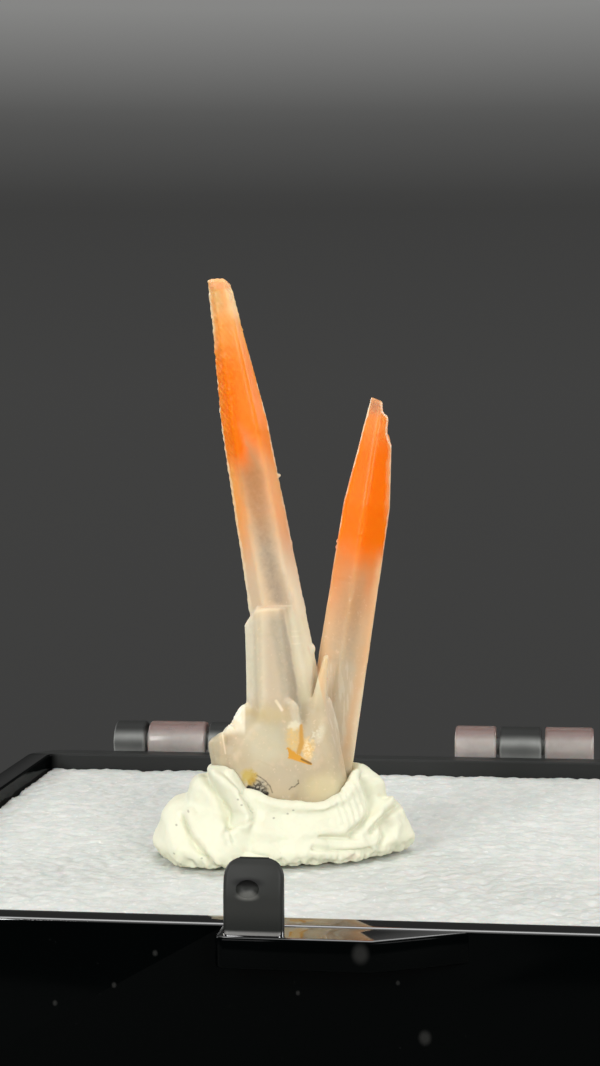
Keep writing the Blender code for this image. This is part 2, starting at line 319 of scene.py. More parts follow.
# %% [markdown]
# The right crystal's tip has a bite broken out of its edge. Its outline is drawn across and up, and
# a block with that outline is cut away. The flat faces are kept in a search tree, so that the cells
# of the remeshed crystals can be laid back on them afterwards.

# %% Break the bite out and remesh
BITE = (
    (6.84, 31.6), (6.84, 31.12), (6.88, 30.53), (7.03, 30.31), (7.18, 30.23), (7.26, 30.01),
    (7.18, 29.41), (7.16, 28.99), (7.26, 28.61), (7.5, 28.1), (8.8, 28.1), (8.8, 31.6),
)
BITE_DEPTHS = (-1, 5)
CELL = 0.106

block = bmesh.new()
near_row, far_row = [[block.verts.new((x, y, z)) for x, z in BITE] for y in BITE_DEPTHS]
block.faces.new(near_row)
block.faces.new(far_row)
join_rings(block, [near_row, far_row])
cut(stone, from_bmesh("bite", block))
flat_faces = bmesh.new()
flat_faces.from_mesh(stone.data)
face_tree = BVHTree.FromBMesh(flat_faces)
flat_faces.free()

even = stone.modifiers.new("even cells", "REMESH")
even.mode = "VOXEL"
even.voxel_size = CELL
apply_modifiers(stone)
print("stone cells:", len(stone.data.polygons))

# %% [markdown]
# Thousands of points are moved at once below, which is quick when they are rows of an array. A
# share between 0 and 1, eased at both ends, says how strongly a change acts at each point.

# %% Read and write points as arrays
def read_points(mesh, kind="co"):
    """Every point's place as a row of an array, or its outward direction for "normal"."""
    flat = np.empty(len(mesh.vertices) * 3)
    mesh.vertices.foreach_get(kind, flat)
    return flat.reshape(-1, 3)


def write_points(mesh, points):
    """Moves every point of a mesh to its row of the array."""
    mesh.vertices.foreach_set("co", np.asarray(points).reshape(-1))
    mesh.update()


def eased(value, start, end):
    """The array's version of rise()."""
    share = np.clip((np.asarray(value, float) - start) / (end - start), 0, 1)
    return share * share * (3 - 2 * share)


print("array helpers ready")

# %% [markdown]
# Smoothing moves each point towards the middle of its neighbours. Sixty small moves round the lump
# by about half a millimetre. A weight keeps them off the crystals.

# %% Round the lump
def smooth_by_weight(mesh, weight, rounds):
    """Moves each point towards its neighbours' middle by its weight, so many times."""
    points = read_points(mesh)
    ends = np.empty(len(mesh.edges) * 2, int)
    mesh.edges.foreach_get("vertices", ends)
    ends = ends.reshape(-1, 2)
    here = np.concatenate([ends[:, 0], ends[:, 1]])
    there = np.concatenate([ends[:, 1], ends[:, 0]])
    count = np.bincount(here, minlength=len(points))[:, None]
    for _ in range(rounds):
        total = [np.bincount(here, points[there, axis], len(points)) for axis in range(3)]
        points = points + weight[:, None] * (np.stack(total, 1) / count - points)
    write_points(mesh, points)


points = read_points(stone.data)
across, deep, height = points.T
right_limit = np.interp(height, [4, 7.5, 9.5, 11], [5.0, 4.3, 2.8, 2.5])
lump_share = eased(height, 10.7, 9.7) * eased(across, -4.2, -3.5)
lump_share *= eased(across - right_limit, 0.4, -0.5) * eased(deep, 0.6, -0.4)
smooth_by_weight(stone.data, 0.011 + 0.48 * lump_share, 60)
print(f"{int((lump_share > 0.5).sum())} points rounded in the lump")

# %% [markdown]
# Remeshing leaves tiny stairs on a slanting face. So each cell of the crystals is laid back on the
# nearest flat face, and then the edges alone are eased by about 0.2 mm, as real ones are worn. The
# tips, the bite and the top of the ledge stay crisp.

# %% Lay the crystals flat and ease their edges
points = read_points(stone.data)
flatness = eased(lump_share, 0.3, 0.0)
for i in np.flatnonzero(flatness):
    on_face = np.array(face_tree.find_nearest(Vector(points[i]))[0])
    points[i] += flatness[i] * (on_face - points[i])
write_points(stone.data, points)
smooth_by_weight(stone.data, 0.25 * flatness, 2)
crisp_tip = eased(height, 36.5, 37.5) + eased(height, 29.8, 30.4) * eased(across, 2, 3)
near_bite = eased(height, 27.6, 28.2) * eased(across, 6.6, 6.9)
ledge_top = eased(height, 16.6, 16.9) * eased(height, 17.8, 17.5)
edge_ease = flatness * (1 - np.clip(crisp_tip + near_bite + ledge_top, 0, 1))
smooth_by_weight(stone.data, 0.45 * edge_ease, 12)
print(f"{int((edge_ease > 0.5).sum())} points eased on the crystals")

# %% [markdown]
# Growth steps run straight across a crystal's faces, square to its length, at uneven distances.
# Each crystal gets its own row of steps from a seeded random generator. Chips are small swellings at
# the places where the picture shows a fleck on an edge.

# %% Press in growth steps and chips
CRYSTAL_AXES = {
    "tall": ((2.0, 0.3, 1.8), (-4.42, -0.5, 39.75), 0.01),
    "right": ((2.2, 1.2, 1.9), (6.8, 2.3, 31.9), 0.012),
    "side": ((-0.2, -0.9, 3.2), (-1.2, -1.15, 17.25), 0.014),
}
CHIPS = (
    ((-0.34, -0.2, 26.2), 0.2, 0.2), ((3.5, 1.6, 21.55), 0.32, 0.3),
    ((3.45, 1.6, 21.15), 0.3, 0.26), ((2.05, -0.2, 14.2), 0.5, 0.17),
    ((-2.9, -0.4, 36.2), 0.14, 0.07), ((-4.55, -0.4, 35.4), 0.1, 0.05),
    ((7.3, 2.0, 28.7), 0.4, 0.09), ((2.75, 1.2, 16.6), 0.2, 0.05),
    ((7.0, 1.6, 22.6), 0.2, 0.06), ((0.6, -0.2, 21.6), 0.3, 0.06),
)
STEPS = 24
luck = np.random.default_rng(7)


def growth_steps(along, depth):
    """How far each point moves: one row of steps along a crystal, each at a height of its own."""
    places = np.cumsum(luck.uniform(0.5, 2.6, STEPS))
    heights = luck.uniform(-1, 1, STEPS + 1)
    value = np.full(len(along), heights[0])
    for place, low, high in zip(places, heights, heights[1:]):
        value += (high - low) * eased(along, place - 0.07, place + 0.07)
    return value * depth


points = read_points(stone.data)
outward = read_points(stone.data, "normal")
moved = np.zeros(len(points))
for foot, tip, depth in CRYSTAL_AXES.values():
    foot = np.array(foot)
    axis = np.array(tip) - foot
    axis = axis / np.linalg.norm(axis)
    along = (points - foot) @ axis
    from_axis = points - foot - along[:, None] * axis
    near = eased(np.linalg.norm(from_axis, axis=1), 2.9, 2.3) * eased(points[:, 2], 10.5, 12)
    on_side = eased(np.abs(outward @ axis), 0.6, 0.3)
    moved += growth_steps(along, depth) * near * on_side
for middle, reach, rise_by in CHIPS:
    far = np.linalg.norm(points - np.array(middle), axis=1)
    moved += rise_by * eased(far, reach, reach * 0.4)
print("growth steps and chips ready")

# %% [markdown]
# Where the right crystal's tip and the chips at the left broke, the surface is rough, and fine
# stripes run over the chips. Everything is added up as one distance and then moved outwards once,
# so that no change spoils the next one's normals.

# %% Roughen what broke and move the surface
rough = np.array([noise.noise(Vector(p) * 2.2) + 0.4 * noise.noise(Vector(p) * 5) for p in points])
slow = np.array([noise.noise(Vector(p) * 0.8) for p in points])
left_chips = eased(points[:, 0], -3.1, -3.5) * eased(points[:, 2], 6.5, 7.5)
right_tip = eased(points[:, 2], 30.6, 31.2) * eased(points[:, 0], 4, 5)
broken = np.maximum(right_tip * 0.5, left_chips * 0.3)
moved += 0.045 + rough * (0.006 + 0.1 * broken) + slow * 0.05 * lump_share
stripes = np.sin((points[:, 0] * 0.8 + points[:, 2] * 0.6) * 24)
moved += stripes * 0.014 * left_chips * eased(points[:, 2], 8.6, 9.0)
write_points(stone.data, points + outward * moved[:, None])
stone.data.shade_smooth()
print(f"surface moved by {moved.min():.2f} to {moved.max():.2f} mm")

# %% [markdown]
# ## Quartz, clear and milky
# Hematoid quartz is clear quartz with iron oxide grown into it. Two shaders are mixed: a milky one,
# whose light scatters inside, and a clear one that bends light as quartz does. The mix factor is
# higher where the real stone is see-through. Colours are placed in the stone's own millimetres:
# across it, and up from the foam, so that bands, patches and stains stay on it.

# %% Find a place on the stone
QUARTZ_IOR = 1.544


def on_stone(point):
    """A point in the stone's own frame: across it, into the box, and up, in millimetres."""
    values = {"Vector": point, "Location": SEAT, "Rotation": (0, 0, SEAT_TURN), "Scale": (MM, MM, MM)}
    return point.node("ShaderNodeMapping", {"vector_type": "TEXTURE"}, values)


quartz_finish, point = new_finish("hematoid quartz")
stone_point = on_stone(point)
warp = grain(stone_point, 1.3, 3.0)
fine = grain(stone_point, 4.5, 3.0)
stone_a, stone_b, stone_z = axes(stone_point)
a = stone_a + (warp - 0.5) * 0.35
z = stone_z + (fine - 0.5) * 0.3
print("a and z run across and up the stone, a little shaken")


def spot(middle, radii, soft=0.5, turn=0.0):
    """An oval patch at a place on a and z: 1 inside, 0 outside, with a soft edge."""
    cos, sin = math.cos(math.radians(turn)), math.sin(math.radians(turn))
    along = ((a - middle[0]) * cos + (z - middle[1]) * sin) / radii[0]
    over = ((z - middle[1]) * cos - (a - middle[0]) * sin) / radii[1]
    return rise(a.maths("SQRT", along * along + over * over), 1 + soft / 2, 1 - soft / 2)


def stroke(start, end, width, soft=0.5, end_width=None):
    """A straight line between two places on the stone, of one width or tapering to another."""
    run, climb = end[0] - start[0], end[1] - start[1]
    share = ((stone_a - start[0]) * run + (stone_z - start[1]) * climb) / (run**2 + climb**2)
    share = share.maths("MINIMUM", share.maths("MAXIMUM", share, 0.0), 1.0)
    over = stone_a - start[0] - share * run
    up = stone_z - start[1] - share * climb
    wide = width if end_width is None else share * (end_width - width) + width
    far = over.maths("SQRT", over * over + up * up) / wide + (fine - 0.5) * 0.6
    return rise(far, 1 + soft / 2, 1 - soft / 2)


print("spots and strokes ready")

# %% [markdown]
# The tall crystal is orange from its tip down to a slanting front, where the iron stopped. Below it
# the stone is nearly clear: down the middle the dark backdrop shows through, painted as a grey band,
# with peach sides. Its width varies along its length, so tall_u runs from -1 at its left edge to 1
# at its right.

# %% Colour the tall crystal
above = larger(stone_z - 30.3, 0.0)
tall_u = (a + 0.66 + (stone_z - 18) * 0.1725) / (1.84 - (stone_z - 18) * 0.022 - above * 0.05)
flat_end = rise(z, 25.9, 28.1) * rise(tall_u, 0.25, -0.35)
tall_end = larger(flat_end, rise(z + tall_u * 1.6, 27.2, 30.2))
streak = rise(tall_u, 0.15, -0.35) * rise(tall_u, -0.95, -0.5) * rise(z, 36.0, 32.0)
tall_orange = paint(
    (255, 136, 36), (streak * 0.85, (250, 120, 4)), (rise(z, 33.4, 37.2), (252, 164, 84)),
)
low_shade = rise(stone_z, 20.5, 18.5) * rise(tall_u, -0.1, 0.2) * rise(tall_u, 0.7, 0.4)
# strip marks the clear band down the middle, where the dark backdrop shows through
left_of_strip = a + 1.44 + (stone_z - 19.09) * 0.2225
right_of_strip = a - 0.2 + (stone_z - 17.57) * 0.1836
strip = rise(left_of_strip, -0.35, 0.7) * rise(right_of_strip, 0.3, -0.7) * rise(stone_z, 17.25, 17.7)
strip = strip * (rise(z, 29.2, 26.6) * 0.5 + rise(z, 23.8, 20.6) * 0.5) * (0.6 + fine * 0.8)
tall_low = paint(
    (220, 196, 164),
    (rise(z, 20, 26.5), (212, 158, 112)),
    (rise(tall_u, -0.3, -0.85) * rise(z, 17.8, 24.5), (252, 170, 94)),
    (rise(tall_u, 0.25, 0.85) * rise(z, 18.5, 25) * 0.9, (254, 186, 126)),
    (rise(stone_z, 22.5, 17.5) * rise(tall_u, 0.35, 0.75), (250, 234, 204)),
    (low_shade * 0.7, (192, 172, 146)),
    # painted shade: grey, browner higher up, for the dark backdrop seen through the clear band
    (strip * 0.9, paint((188, 168, 144), (rise(z, 20.8, 24.0), (180, 128, 80)))),
)
tip_patch = rise(z, 36.4, 38.2) * rise(z, 39.3, 38.7) * rise(tall_u, -0.95, -0.35)
tip_patch = tip_patch * rise(tall_u, 0.55, -0.25)
tall_colour = paint(
    tall_low,
    (tall_end, tall_orange),
    (rise(z, 36.2, 37.8) * rise(tall_u, -0.2, 0.8), (254, 200, 146)),
    (rise(z, 34.5, 36.5) * rise(tall_u, -0.6, -0.95), (252, 214, 170)),
    (tip_patch * 0.85, (226, 182, 122)),
    (rise(stone_z, 38.85, 39.15), (246, 174, 122)),
)
print("tall crystal coloured")

# %% [markdown]
# The right crystal is coloured the same way, with right_u across it. Its broken tip is greyish, and
# fresh breaks catch the light, so the bite's outline is traced by pale strokes.

# %% Colour the right crystal
narrowed = larger(stone_z - 16, 0.0) * 0.02
right_u = (a - 4.77 - (stone_z - 18) * 0.155) / (1.8 - narrowed - larger(stone_z - 24, 0.0) * 0.1)
right_orange = paint(
    (246, 124, 16),
    (rise(right_u + (stone_z - 21) * 0.028, -0.3, 0.4), (242, 118, 0)),
    (rise(z, 27.2, 30.2), (240, 142, 62)),
    (rise(right_u, 0.72, 0.9) * rise(z, 22.5, 24.5) * 0.6, (250, 162, 104)),
)
core = rise(right_u, -0.85, -0.2) * rise(right_u, 0.62, 0.2) * rise(z, 21.0, 17.0) * (0.6 + fine * 0.8)
right_low = paint(
    (214, 180, 142),
    (rise(z, 14.5, 20.8), (222, 140, 76)),
    # painted shade: grey for the dark backdrop seen through the core
    (core * 0.85, paint((196, 180, 154), (rise(z, 12, 18), (202, 160, 118)))),
    (rise(right_u, 0.6, 0.95) * 0.8, paint((228, 208, 178), (rise(z, 9.5, 14), (238, 190, 144)))),
)
right_end = rise(z - rise(right_u, 0.2, -0.9) * 0.9 + (warp - 0.5) * 0.8, 19.2, 21.6)
tip_line = larger(
    stroke((6.3, 31.1), (6.6, 31.0), 0.05, 1.0), stroke((6.6, 31.0), (6.9, 30.75), 0.05, 1.0),
)
bite_edges = [
    stroke((low_a - 0.03, low_z), (high_a - 0.03, high_z), 0.07, 1.2)
    for (low_a, low_z), (high_a, high_z) in zip(BITE[1:], BITE[2:10])
]
right_colour = paint(
    right_low,
    (right_end, right_orange),
    (rise(z, 29.9, 30.9), (196, 140, 98)),
    (tip_line * 0.5, (170, 118, 92)),
    *[(edge * 0.6, (252, 206, 178)) for edge in bite_edges],
)
print("right crystal coloured")

# %% [markdown]
# The foot is milky all through. The short crystal on it has a grey band, painted for the dark
# backdrop seen through it, and a cream side face with a painted highlight towards its right edge. The
# lump has soft clouds of cream and tan. The chips at the left are fresh and white, with a hatch.

# %% Colour the short crystal
facet_line = a + 0.08 + (stone_z - 16.88) * 0.17
low_strip = rise(facet_line, 0.08, -0.14) * rise(facet_line, -1.3, -0.75)
low_strip = low_strip * rise(stone_z, 17.3, 17.0) * rise(z, 8.9, 10.4) * (0.55 + fine * 0.8)
milky = paint(
    (224, 215, 190),
    (rise(a, -2.0, -0.9), (206, 190, 164)),
    (rise(warp, 0.42, 0.7) * rise(a, -1.6, -2.2), (216, 210, 186)),
    # painted shade: grey for the dark backdrop seen through the short crystal's clear band
    (low_strip * 0.85, (190, 178, 156)),
    (rise(facet_line, -0.04, 0.1), paint((220, 208, 180), (rise(z, 13.5, 10.5), (200, 188, 158)))),
    # painted highlight: the cream side face lightened towards its right edge
    (rise(facet_line, 0.5, 1.25) * rise(stone_z, 11.5, 13.5) * 0.8, (252, 244, 214)),
    (stroke((-1.9, 17.0), (-1.82, 10.6), 0.26, 1.3) * 0.5, (176, 162, 136)),
    *[(stroke((0.5, at), (1.5, at), 0.05, 0.9) * 0.3, (242, 230, 204)) for at in (15.55, 15.2, 14.7)],
    (spot((0.35, 11.0), (0.26, 0.8), 0.9, 12) * 0.35, (200, 186, 162)),
)
print("short crystal coloured")

# %% Colour the lump and its chips
white_leaf = stroke((-0.62, 10.9), (-0.22, 10.3), 0.09, 1.4) * 0.6
lump_colour = paint(
    (196, 180, 150),
    (spot((-1.3, 8.0), (1.7, 1.5), 1.4), (204, 194, 166)),
    (spot((-1.3, 10.0), (1.7, 0.55), 1.2) * 0.9, (206, 188, 148)),
    (spot((0.1, 5.9), (1.6, 0.9), 1.3) * 0.7, (192, 178, 152)),
    (spot((2.6, 5.0), (1.3, 0.9), 1.2) * 0.8, (212, 198, 158)),
    (spot((-3.3, 7.3), (0.9, 1.2), 1.2) * 0.5, (186, 170, 142)),
    (rise(a, -4.35, -4.6), (180, 170, 146)),
    (stroke((-4.4, 9.2), (-4.1, 7.3), 0.05, 1.2) * 0.6, (236, 222, 194)),
    (spot((0.75, 10.1), (0.34, 0.95), 0.8, 4) * 0.7, (212, 204, 182)),
    (spot((2.4, 8.6), (0.3, 0.6), 1.0, -20) * 0.6, (214, 207, 182)),
    (white_leaf, (246, 232, 204)),
)
chip_white = rise(a, -2.95, -3.15) * rise(stone_z + stone_a * 0.5, 7.6, 7.9)
hatch = rise(a.maths("SINE", (stone_a * 0.75 - stone_z * 0.66) * 26), -0.4, 0.8) * chip_white
milky = paint(
    milky,
    (rise(z, 11.3, 9.9), lump_colour),
    (white_leaf * 0.9, (246, 232, 204)),
    (chip_white, (214, 211, 198)),
    (hatch * 0.7, (236, 234, 226)),
    (rise(warp, 0.5, 0.75) * 0.25, (228, 202, 172)),
)
print("lump coloured")

# %% [markdown]
# Iron also left a few stains near the foot: a golden wedge with a stem, an ochre patch with black
# specks, and one thin dark squiggle. Each is a stroke or an oval at its own place, and a noise
# added to a and z tears their edges.

# %% Stain the foot
torn = (grain(stone_point, 3.2, 4.0) - 0.5) * 0.8
a, z = stone_a + torn, stone_z + torn * 0.8
mottle = rise(grain(stone_point, 5.5, 2.0), 0.42, 0.6)
stem = larger(
    stroke((1.08, 9.2), (1.1, 8.0), 0.1, 1.2, 0.17), stroke((1.1, 8.0), (0.9, 7.4), 0.17, 1.0),
)
wedge = stroke((0.0, 7.42), (1.75, 6.6), 0.36, 0.5, 0.07) * rise(a, 0.1, 0.2)
cluster = spot((-1.8, 5.1), (0.55, 0.42), 0.7)
stains = paint(
    milky,
    (spot((0.62, 8.4), (0.55, 0.9), 0.8) * (0.6 + mottle * 0.4), (222, 192, 134)),
    (spot((0.66, 9.3), (0.4, 0.28), 0.9) * 0.8, (228, 220, 196)),
    (spot((1.5, 7.6), (0.42, 0.72), 0.8), (226, 192, 132)),
    (spot((1.55, 7.6), (0.36, 0.62), 0.9) * mottle * 0.7, (240, 222, 180)),
    (spot((2.1, 8.5), (0.3, 0.5), 1.0) * mottle * 0.6, (224, 220, 196)),
    (stem * 0.9, (208, 158, 74)),
    (wedge, (216, 160, 62)),
    (stroke((1.1, 6.93), (1.72, 6.64), 0.07, 1.0) * 0.9, (132, 96, 46)),
    (spot((-2.5, 5.8), (0.55, 0.45), 0.9, -30) * 0.9, (194, 168, 88)),
    (spot((-2.3, 5.4), (0.26, 0.5), 0.9, -15) * (0.6 + mottle * 0.4), (184, 150, 64)),
    (stroke((-2.5, 5.1), (-1.3, 4.68), 0.16, 0.8), (46, 40, 34)),
    (cluster * (1 - mottle * 0.6) * 0.9, (62, 56, 46)),
    (cluster * mottle * 0.4, (196, 190, 172)),
)
DARK_LINES = (
    ((-1.95, 5.9), (-1.7, 5.75), (-1.35, 5.5), (-1.05, 5.15), (-0.9, 4.75)),
    ((-1.55, 5.2), (-1.35, 5.05), (-1.3, 4.8)), ((-2.0, 5.6), (-1.75, 5.45), (-1.6, 5.2)),
    ((0.25, 4.93), (0.42, 5.08), (0.62, 5.1), (0.8, 5.26), (0.88, 5.3), (0.86, 5.52)),
)
for path in DARK_LINES:
    for start, end in zip(path, path[1:]):
        stains = paint(stains, (stroke(start, end, 0.045, 1.2) * 0.65, (112, 102, 82)))
stains = paint(stains, (stroke((-1.9, 6.9), (-0.7, 6.35), 0.06, 1.2) * 0.3, (190, 176, 148)))
print("stains placed")

# %% [markdown]
# Each crystal's colour is kept to its own part of the stone by a mask. Where two crystals meet, a
# pale line shows the join, and thin edges are paler because light gathers in them.

# %% Join the crystals' colours
right_edge = stone_a - 2.1 - larger(13 - stone_z, 0.0) * 0.24
behind = rise(stone_b, 0.7, 1.1) * rise(stone_a - 0.2 - (stone_z - 1.9) * 0.153, -0.1, 0.1)
is_right = larger(rise(right_edge, -0.08, 0.08), behind)
is_tall = rise(stone_z, 16.2, 17.6)
low_core = rise(right_u, -0.75, -0.45) * rise(right_u, 0.7, 0.3) * rise(stone_z, 13.6, 12.6) * is_right
low_core = low_core * rise(stone_z, 6.6, 8.2)
drawn_out = stone_point.node("ShaderNodeVectorMath", {"operation": "MULTIPLY"}, {
    0: stone_point, 1: (2.2, 2.2, 0.3),
}, "Vector")
scratches = rise(grain(drawn_out, 1.6, 3.0), 0.54, 0.62) * low_core
pale_side = rise(stone_a, -2.68, -2.86) * rise(stone_z, 8.4, 9.0) * (1 - is_tall)
rim_tall = rise(tall_u * tall_u, 0.88, 0.99) * is_tall * (1 - is_right)
rim_right = rise(right_u * right_u, 0.88, 0.98) * is_right
rim_strength = 0.45 + rise(stone_z, 24, 34) * rise(stone_z, 39.2, 37.5) * 0.35
flecks = rise(grain(stone_point, 3.4, 3.0), 0.62, 0.72) * rise(stone_z, 21, 17) * 0.2
colour = paint(
    stains,
    (is_tall, tall_colour),
    (is_right * rise(stone_z, 4.4, 8.6), right_colour),
    (stroke((-1.15, 17.32), (0.5, 17.32), 0.05, 1.0) * 0.6, (224, 208, 178)),
    (low_core * (0.5 + fine * 0.5), (214, 196, 168)),
    (scratches * 0.6, (226, 212, 186)),
    (pale_side * 0.6, (250, 242, 220)),
    (larger(rim_tall, rim_right) * rim_strength, (255, 232, 200)),
    (flecks, (250, 226, 196)),
)
print("crystals joined")

# %% [markdown]
# The milky shader's light spreads a little under the surface, most of all its red part. The clear
# one's share is small, and larger where the stone is see-through: in the bands painted grey for the
# dark backdrop behind, and near the tall crystal's tip.

# %% Mix the milky and the clear shader
bumps = bump(grain(stone_point, 2.4, 4.0), 0.2, 0.00005)
milky_quartz = principled(point, {
    "Base Color": colour, "Roughness": 0.32 + grain(stone_point, 2.0) * 0.16, "IOR": QUARTZ_IOR,
    "Normal": bumps, "Specular IOR Level": 0.14, "Subsurface Weight": 0.75,
    "Subsurface Radius": (1.0, 0.75, 0.55), "Subsurface Scale": 0.0018,
})
clear_quartz = principled(point, {
    "Base Color": (1.0, 0.96, 0.9, 1.0), "Roughness": 0.12, "IOR": QUARTZ_IOR, "Normal": bumps,
    "Transmission Weight": 1.0,
})
see_through = strip * is_tall * (1 - is_right) + low_strip * (1 - is_tall) * (1 - is_right) * 0.6
see_through = see_through + core * is_right * 0.6 + tip_patch * 0.4 + low_core * 0.3
show(mixed(0.04 + see_through * 0.14, milky_quartz, clear_quartz))
dress(stone, quartz_finish)
stone.data.transform(to_box)
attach(stone, "root")
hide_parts("quartz")
print("quartz finish has", len(quartz_finish.node_tree.nodes), "nodes")

# %% [markdown]
# ## The putty
# A soft lump was rolled in the fingers and pressed round the stone, so it has folds, a rolled ridge
# from one ear, and the print of a fingertip. Its section is drawn at each direction round the
# stone and lofted into a fine grid. The folds are then pressed into the grid along its normals.

# %% Draw the putty's section
FOOT_RADII = (
    (0, 9.0), (30, 7.9), (60, 6.2), (90, 5.6), (120, 6.2), (150, 8.0), (180, 9.3), (203, 9.3),
    (217, 9.1), (230, 8.1), (248, 6.3), (270, 5.6), (300, 5.8), (327, 6.7), (345, 7.6),
)
CREST_RADII = (
    (0, 5.5), (45, 5.0), (90, 4.3), (135, 4.5), (180, 5.1), (200, 5.4), (222, 5.1), (248, 4.5),
    (270, 4.15), (315, 4.7),
)
CREST_HEIGHTS = (
    (0, 6.0), (18, 5.8), (40, 5.2), (90, 5.0), (140, 5.2), (168, 5.6), (186, 6.1), (204, 6.5),
    (219, 6.3), (235, 4.9), (270, 4.2), (300, 4.0), (322, 4.5), (335, 5.2), (348, 5.9),
)
SHOULDER_HEIGHTS = ((0, 3.6), (90, 2.9), (180, 4.0), (225, 3.4), (270, 2.6), (315, 3.0))
SOCKET_HEIGHT = 3.2


def round_the_stone(pairs, azimuth):
    """Values between the given (degrees, value) pairs, eased and closed on themselves."""
    degrees = np.array([p[0] for p in pairs] + [360 + pairs[0][0]])
    values = np.array([p[1] for p in pairs] + [pairs[0][1]])
    after = np.clip(np.searchsorted(degrees, azimuth, "right"), 1, len(degrees) - 1)
    share = (azimuth - degrees[after - 1]) / (degrees[after] - degrees[after - 1])
    share = share * share * (3 - 2 * share)
    return values[after - 1] + (values[after] - values[after - 1]) * share


def putty_section(azimuth):
    """(radius, height) points of the section in each direction, from its top to its foot."""
    foot = round_the_stone(FOOT_RADII, azimuth)
    crest = round_the_stone(CREST_RADII, azimuth)
    top = round_the_stone(CREST_HEIGHTS, azimuth)
    shoulder = round_the_stone(SHOULDER_HEIGHTS, azimuth)
    collar = crest + 0.42 * (foot - crest)
    flat = np.ones_like(foot)
    points = (
        (crest * 0.6, SOCKET_HEIGHT * flat), (crest * 0.84, top - 0.6), (crest * 0.94, top),
        (crest + 0.3, top - 0.25), (collar - 0.35, (top + shoulder) / 2),
        (collar, shoulder + 0.15), (collar + 0.45 * (foot - collar), shoulder - 0.45),
        (foot - 0.35, 1.75 * flat), (foot, 1.0 * flat), (foot - 0.22, 0.5 * flat),
        (foot - 0.6, 0.04 * flat),
    )
    return np.array(points).transpose(2, 0, 1)


AROUND, DOWN = 420, 104
azimuths = np.arange(AROUND) * 360 / AROUND
corners = putty_section(azimuths)
print("section points:", corners.shape[1], "in", AROUND, "directions")

# %% Loft the section into a fine grid
def smooth_line(corners, count):
    """Evenly spaced points on a smooth curve through the corners."""
    padded = np.vstack([2 * corners[0] - corners[1], corners, 2 * corners[-1] - corners[-2]])
    curve = []
    for p0, p1, p2, p3 in zip(padded, padded[1:], padded[2:], padded[3:]):
        t = np.linspace(0, 1, 14, endpoint=False)[:, None]
        bend = (p2 - p0) * t + (2 * p0 - 5 * p1 + 4 * p2 - p3) * t**2
        curve.append(p1 + 0.5 * (bend + (3 * p1 - p0 - 3 * p2 + p3) * t**3))
    curve = np.vstack([*curve, corners[-1:]])
    travelled = np.concatenate([[0], np.cumsum(np.linalg.norm(np.diff(curve, axis=0), axis=1))])
    wanted = np.linspace(0, travelled[-1], count)
    return np.stack([np.interp(wanted, travelled, curve[:, i]) for i in (0, 1)], 1)


lines = np.array([smooth_line(c, DOWN) for c in corners])
turn = np.radians(azimuths)[:, None]
grid = np.stack([lines[..., 0] * np.cos(turn), lines[..., 0] * np.sin(turn), lines[..., 1]], -1)


def grid_normals(grid):
    """Outward normals of a grid that closes on itself in its first direction."""
    around = np.roll(grid, -1, 0) - np.roll(grid, 1, 0)
    down = np.gradient(grid, axis=1)
    normal = np.cross(down, around)
    return normal / np.linalg.norm(normal, axis=-1, keepdims=True)


normals = grid_normals(grid)
print("grid:", grid.shape, "outward check:", bool(normals[0, DOWN // 2, 0] > 0))

# %% [markdown]
# A fold is the distance to a bent line, fed through a bell curve: minus for a crease, plus for a
# ridge. The fingertip's print is a sine wave inside an oval, about 0.4 mm from ridge to ridge.

# %% Press folds and a fingerprint into the putty
def along_path(grid, path):
    """Distance from each point to a bent line, seen from the front."""
    seen = grid[..., [0, 2]]
    nearest = np.full(seen.shape[:-1], 1e9)
    for start, end in zip(path, path[1:]):
        start, run = np.array(start), np.subtract(end, start)
        share = np.clip(((seen - start) @ run) / (run @ run), 0, 1)
        far = np.linalg.norm(seen - start - share[..., None] * run, axis=-1)
        nearest = np.minimum(nearest, far)
    return nearest


